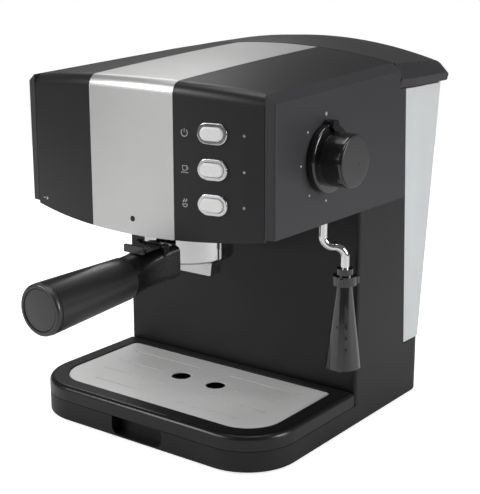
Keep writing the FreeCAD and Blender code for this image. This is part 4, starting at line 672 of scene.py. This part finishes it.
class ESPRESSO_OT_symbols(bpy.types.Operator):
    """Plain symbols for power, coffee and steam beside the buttons"""
    bl_idname = "espresso.symbols"
    bl_label = "Button symbols"

    def execute(self, context):
        ink = rubbery("mark_grey", finishes().mark, 0.6)
        size = sizes()
        for node, symbol in zip(BUTTONS, (symbol_power, symbol_cup, symbol_steam)):
            button = (low(node) + high(node)) / 2
            piece = symbol(size.symbol_size, size.mark_line, size.mark_height * 2)
            on_front(piece, button.x - MID_X - SYMBOL_LEFT, button.z - SYMBOL_DOWN)
            finish_piece(piece, node.replace("_button", "_symbol"), ink, "machine")
        return {"FINISHED"}


class ESPRESSO_OT_holder_marks(bpy.types.Operator):
    """Marks for the filter holder: a triangle where it goes in, a spot where it locks"""
    bl_idname = "espresso.holder_marks"
    bl_label = "Holder marks"

    def execute(self, context):
        size = sizes()
        height = size.mark_height * 2
        pale = rubbery("mark_pale", (0.5, 0.5, 0.5, 1.0), 0.6)
        dark = rubbery("mark_dark", (0.012, 0.012, 0.012, 1.0), 0.5)
        insert = join([triangle(0, 0, ARROW_SIZE, height),
                       bar(ARROW_TAIL[0], 0, ARROW_TAIL[1], 0, size.mark_line, height)])
        on_front(insert, INSERT_X, HEAD_BOTTOM_Z + INSERT_UP)
        finish_piece(insert, "insert_mark", pale, "machine")
        lock = on_front(spot(0, 0, LOCK_R, height), LOCK_X, HEAD_BOTTOM_Z + LOCK_UP)
        finish_piece(lock, "lock_mark", dark, "machine")
        return {"FINISHED"}


class ESPRESSO_OT_knob_marks(bpy.types.Operator):
    """Dots on the side cover that show how far the steam valve is open"""
    bl_idname = "espresso.knob_marks"
    bl_label = "Knob dots"

    def execute(self, context):
        size = sizes()
        ink = rubbery("mark_dots", finishes().mark, 0.55)
        dots = []
        for degrees, larger in KNOB_DOTS:
            dot = spot(0, 0, size.knob_dot * larger, size.mark_height * 2)
            angle = math.radians(degrees)
            y = KNOB.y - size.dot_circle * math.sin(angle)
            z = KNOB.z + size.dot_circle * math.cos(angle)
            dots.append(on_side(dot, y, z))
        finish_piece(join(dots), "knob_dots", ink, "machine")
        return {"FINISHED"}


# --- operators: turned details ---
# Outlines in millimetres: inset from the piece's outer radius, and height over its face.
GRIP_END_RIM = ((0.2, -4.6), (0.0, -4.2), (0.0, -1.6), (0.3, -0.8), (0.9, -0.2), (1.8, 0.0), (2.8, -0.1),
                (3.1, -0.5), (3.3, -1.1), (3.6, -1.15), (3.9, -0.8))
GRIP_END_DOME = 0.7                       # how far its middle rises
DOME_STEPS = 10
KNOB_CAP_RIM = ((0.9, -1.15), (0.7, -0.9), (0.8, -0.45), (1.2, -0.12), (1.8, -0.02), (2.6, 0.0))
KNOB_RIM = 5.5                            # the knob's own rim, left free round its disc
KNOB_HUB = (15.8, -2.6)                   # radius and depth of the hub behind the disc


def rim(radius, outline):
    return [(radius - inset * MM, height * MM) for inset, height in outline]


def turned(outline, centre, turn, steps=64):
    """Spins an outline of (radius, height) points about its axis into a closed skin."""
    deselect()
    bpy.ops.mesh.primitive_plane_add(size=1.0)
    piece = bpy.context.active_object

    def sweep():
        bpy.ops.mesh.merge(type="CENTER")
        bpy.ops.transform.translate(value=(outline[0][0], 0.0, outline[0][1]))
        for (radius, height), (next_radius, next_height) in zip(outline, outline[1:]):
            step = (next_radius - radius, 0.0, next_height - height)
            bpy.ops.mesh.extrude_region_move(TRANSFORM_OT_translate={"value": step})
        bpy.ops.mesh.select_all(action="SELECT")
        bpy.ops.mesh.spin(steps=steps, angle=2 * math.pi, center=(0, 0, 0), axis=(0, 0, 1),
                          use_auto_merge=True)
        bpy.ops.mesh.select_all(action="SELECT")
        clean_skin(0.000004)

    editing(sweep)
    piece.data.transform(Matrix.Translation(centre) @ turn)
    return piece


class ESPRESSO_OT_grip_end(bpy.types.Operator):
    """Domed disc with a fine ring, set in the end of the grip"""
    bl_idname = "espresso.grip_end"
    bl_label = "Grip end disc"

    def execute(self, context):
        lowest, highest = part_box("handle_end_cap")
        centre = (lowest + highest) / 2
        centre.y = lowest.y
        outline = [(0.0, GRIP_END_RIM[0][1] * MM)] + rim((highest.x - lowest.x) / 2, GRIP_END_RIM)
        edge, foot = outline[-1]
        for step in range(1, DOME_STEPS + 1):
            part = step / DOME_STEPS
            rise = GRIP_END_DOME * MM * math.sin(math.pi / 2 * part)
            outline.append((edge * (1 - part), foot + rise))
        cap = turned(outline, centre, Matrix.Rotation(math.pi / 2, 4, "X"))
        finish_piece(cap, "grip_end_cap", glossy("cap_satin", (0.024, 0.024, 0.025, 1.0), 0.3, 0.2),
                     "filter_holder")
        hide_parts("handle_end_cap")
        smooth(cap)
        return {"FINISHED"}


class ESPRESSO_OT_knob_cap(bpy.types.Operator):
    """Satin disc that covers the front of the steam knob"""
    bl_idname = "espresso.knob_cap"
    bl_label = "Knob disc"

    def execute(self, context):
        hub, depth = KNOB_HUB[0] * MM, KNOB_HUB[1] * MM
        knob_radius = (high("steam_knob").y - low("steam_knob").y) / 2
        outline = [(0.0, depth), (hub, depth), (hub, KNOB_CAP_RIM[0][1] * MM)]
        outline += rim(knob_radius - KNOB_RIM * MM, KNOB_CAP_RIM)
        outline += [(8.0 * MM, -0.12 * MM), (0.0, -0.16 * MM)]      # the face is dished
        centre = Vector((high("knob_face").x, KNOB.y, KNOB.z))
        cap = turned(outline, centre, Matrix.Rotation(math.pi / 2, 4, "Y"), 72)
        satin = moulded("knob_cap_satin", (0.045, 0.045, 0.046, 1.0), 0.3, grain=3000.0, depth=0.00002,
                        specular=0.5)
        finish_piece(cap, "knob_cap", satin, "knob")
        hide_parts("knob_face")
        smooth(cap)
        return {"FINISHED"}


# --- stage ---
# Name, place, point it is aimed at, width, height, and power in watts.
LAMPS = (
    ("top_light", (0.0, 0.1, 1.5), (0.0, 0.05, 0.1), 1.1, 0.8, 9.0),
    ("tray_light", (-0.75, -0.95, 0.85), (0.0, -0.02, 0.02), 0.5, 0.4, 6.0),
    ("front_light", (-0.8, -1.8, 1.0), (0.0, 0.0, 0.12), 1.1, 1.0, 11.0),
    ("side_light", (1.8, 0.5, 0.7), (0.0, 0.05, 0.16), 0.7, 0.9, 20.0),
    ("back_light", (-1.4, 1.3, 1.5), (0.0, 0.0, 0.1), 0.8, 0.6, 4.0),
)
ROOM_LIGHT = 0.12                         # what the white room gives the machine
ROOM_SEEN = 1.0                           # how bright it looks
FLOOR_GLOW = 0.75                         # brings the floor up to the room's white, to the eye only
FLOOR_GAP = 0.2 * MM                      # keeps the floor clear of the feet
CAMERA_PLACE = (0.532, -0.6855, 0.364)
CAMERA_DIP = 14.59                        # degrees below level
CAMERA_TURN = 36.56                       # degrees from straight ahead


def lamp(name, place, aim, width, height, power):
    bpy.ops.object.light_add(type="AREA", location=place)
    light = bpy.context.active_object
    light.name = name
    light.data.shape = "RECTANGLE"
    light.data.size = width
    light.data.size_y = height
    light.data.energy = power
    light.rotation_euler = (Vector(aim) - Vector(place)).to_track_quat("-Z", "Y").to_euler()


def white_room():
    """A white world that looks brighter than it lights."""
    world = bpy.data.worlds.new("studio")
    world.use_nodes = True
    backdrop = world.node_tree.nodes["Background"]
    backdrop.inputs["Color"].default_value = WHITE
    sight = world.node_tree.nodes.new("ShaderNodeLightPath")
    strength = world.node_tree.nodes.new("ShaderNodeMapRange")
    strength.inputs["To Min"].default_value = ROOM_LIGHT
    strength.inputs["To Max"].default_value = ROOM_SEEN
    world.node_tree.links.new(sight.outputs["Is Camera Ray"], strength.inputs["Value"])
    world.node_tree.links.new(strength.outputs[0], backdrop.inputs["Strength"])
    return world


class ESPRESSO_OT_stage(bpy.types.Operator):
    """Pale floor, soft lights and the camera"""
    bl_idname = "espresso.stage"
    bl_label = "Stage"

    def execute(self, context):
        size = sizes()
        deselect()
        bpy.ops.mesh.primitive_circle_add(vertices=128, radius=size.floor_size / 2, fill_type="NGON",
                                          location=(0, 0, -FLOOR_GAP))
        floor = bpy.context.active_object
        floor.name = "floor"
        sheet = Finish("floor_paper", Specular_IOR_Level=0.2, Emission_Strength=FLOOR_GLOW)
        seen = sheet.node("ShaderNodeLightPath", {}, {}).outputs["Is Camera Ray"]
        fibres = sheet.noise(40.0, 3.0)
        shade = sheet.mix(fibres, (0.86, 0.86, 0.86, 1.0), (0.89, 0.89, 0.89, 1.0))
        floor.data.materials.append(sheet.set(Base_Color=shade, Roughness=(fibres * 0.1 + 0.7).clamp(),
                                              Emission_Color=sheet.mix(seen, BLACK, WHITE)))
        context.scene.world = white_room()
        context.scene.view_settings.view_transform = "Standard"
        for settings in LAMPS:
            lamp(*settings)
        bpy.ops.object.camera_add(location=CAMERA_PLACE,
                                  rotation=(math.radians(90 - CAMERA_DIP), 0, math.radians(CAMERA_TURN)))
        camera = bpy.context.active_object
        camera.name = "camera"
        camera.data.sensor_width = 36.0
        camera.data.lens = size.lens
        camera.data.clip_start = 0.05
        camera.data.clip_end = 30.0
        context.scene.camera = camera
        return {"FINISHED"}


class ESPRESSO_PT_panel(bpy.types.Panel):
    """Lists the machine's pieces and finishes"""
    bl_idname = "ESPRESSO_PT_panel"
    bl_label = "Espresso machine"
    bl_space_type = "VIEW_3D"
    bl_region_type = "UI"
    bl_category = "Espresso"

    def draw(self, context):
        column = self.layout.column(align=True)
        for operator in OPERATORS:
            column.operator(operator.bl_idname)
        for group in (finishes(), sizes()):
            box = self.layout.box()
            for name in group.__annotations__:
                box.prop(group, name)


OPERATORS = (
    ESPRESSO_OT_housings,
    ESPRESSO_OT_panels,
    ESPRESSO_OT_controls,
    ESPRESSO_OT_holder,
    ESPRESSO_OT_steam,
    ESPRESSO_OT_grille,
    ESPRESSO_OT_tank,
    ESPRESSO_OT_insides,
    ESPRESSO_OT_symbols,
    ESPRESSO_OT_holder_marks,
    ESPRESSO_OT_knob_marks,
    ESPRESSO_OT_grip_end,
    ESPRESSO_OT_knob_cap,
    ESPRESSO_OT_stage,
)
CLASSES = (EspressoFinish, EspressoSizes) + OPERATORS + (ESPRESSO_PT_panel,)


def register():
    for cls in CLASSES:
        bpy.utils.register_class(cls)
    bpy.types.Scene.espresso_finish = PointerProperty(type=EspressoFinish)
    bpy.types.Scene.espresso_sizes = PointerProperty(type=EspressoSizes)


def unregister():
    del bpy.types.Scene.espresso_sizes
    del bpy.types.Scene.espresso_finish
    for cls in reversed(CLASSES):
        bpy.utils.unregister_class(cls)


def main():
    register()
    for operator in OPERATORS:
        group, name = operator.bl_idname.split(".")
        getattr(getattr(bpy.ops, group), name)()


if __name__ == "__main__":
    main()
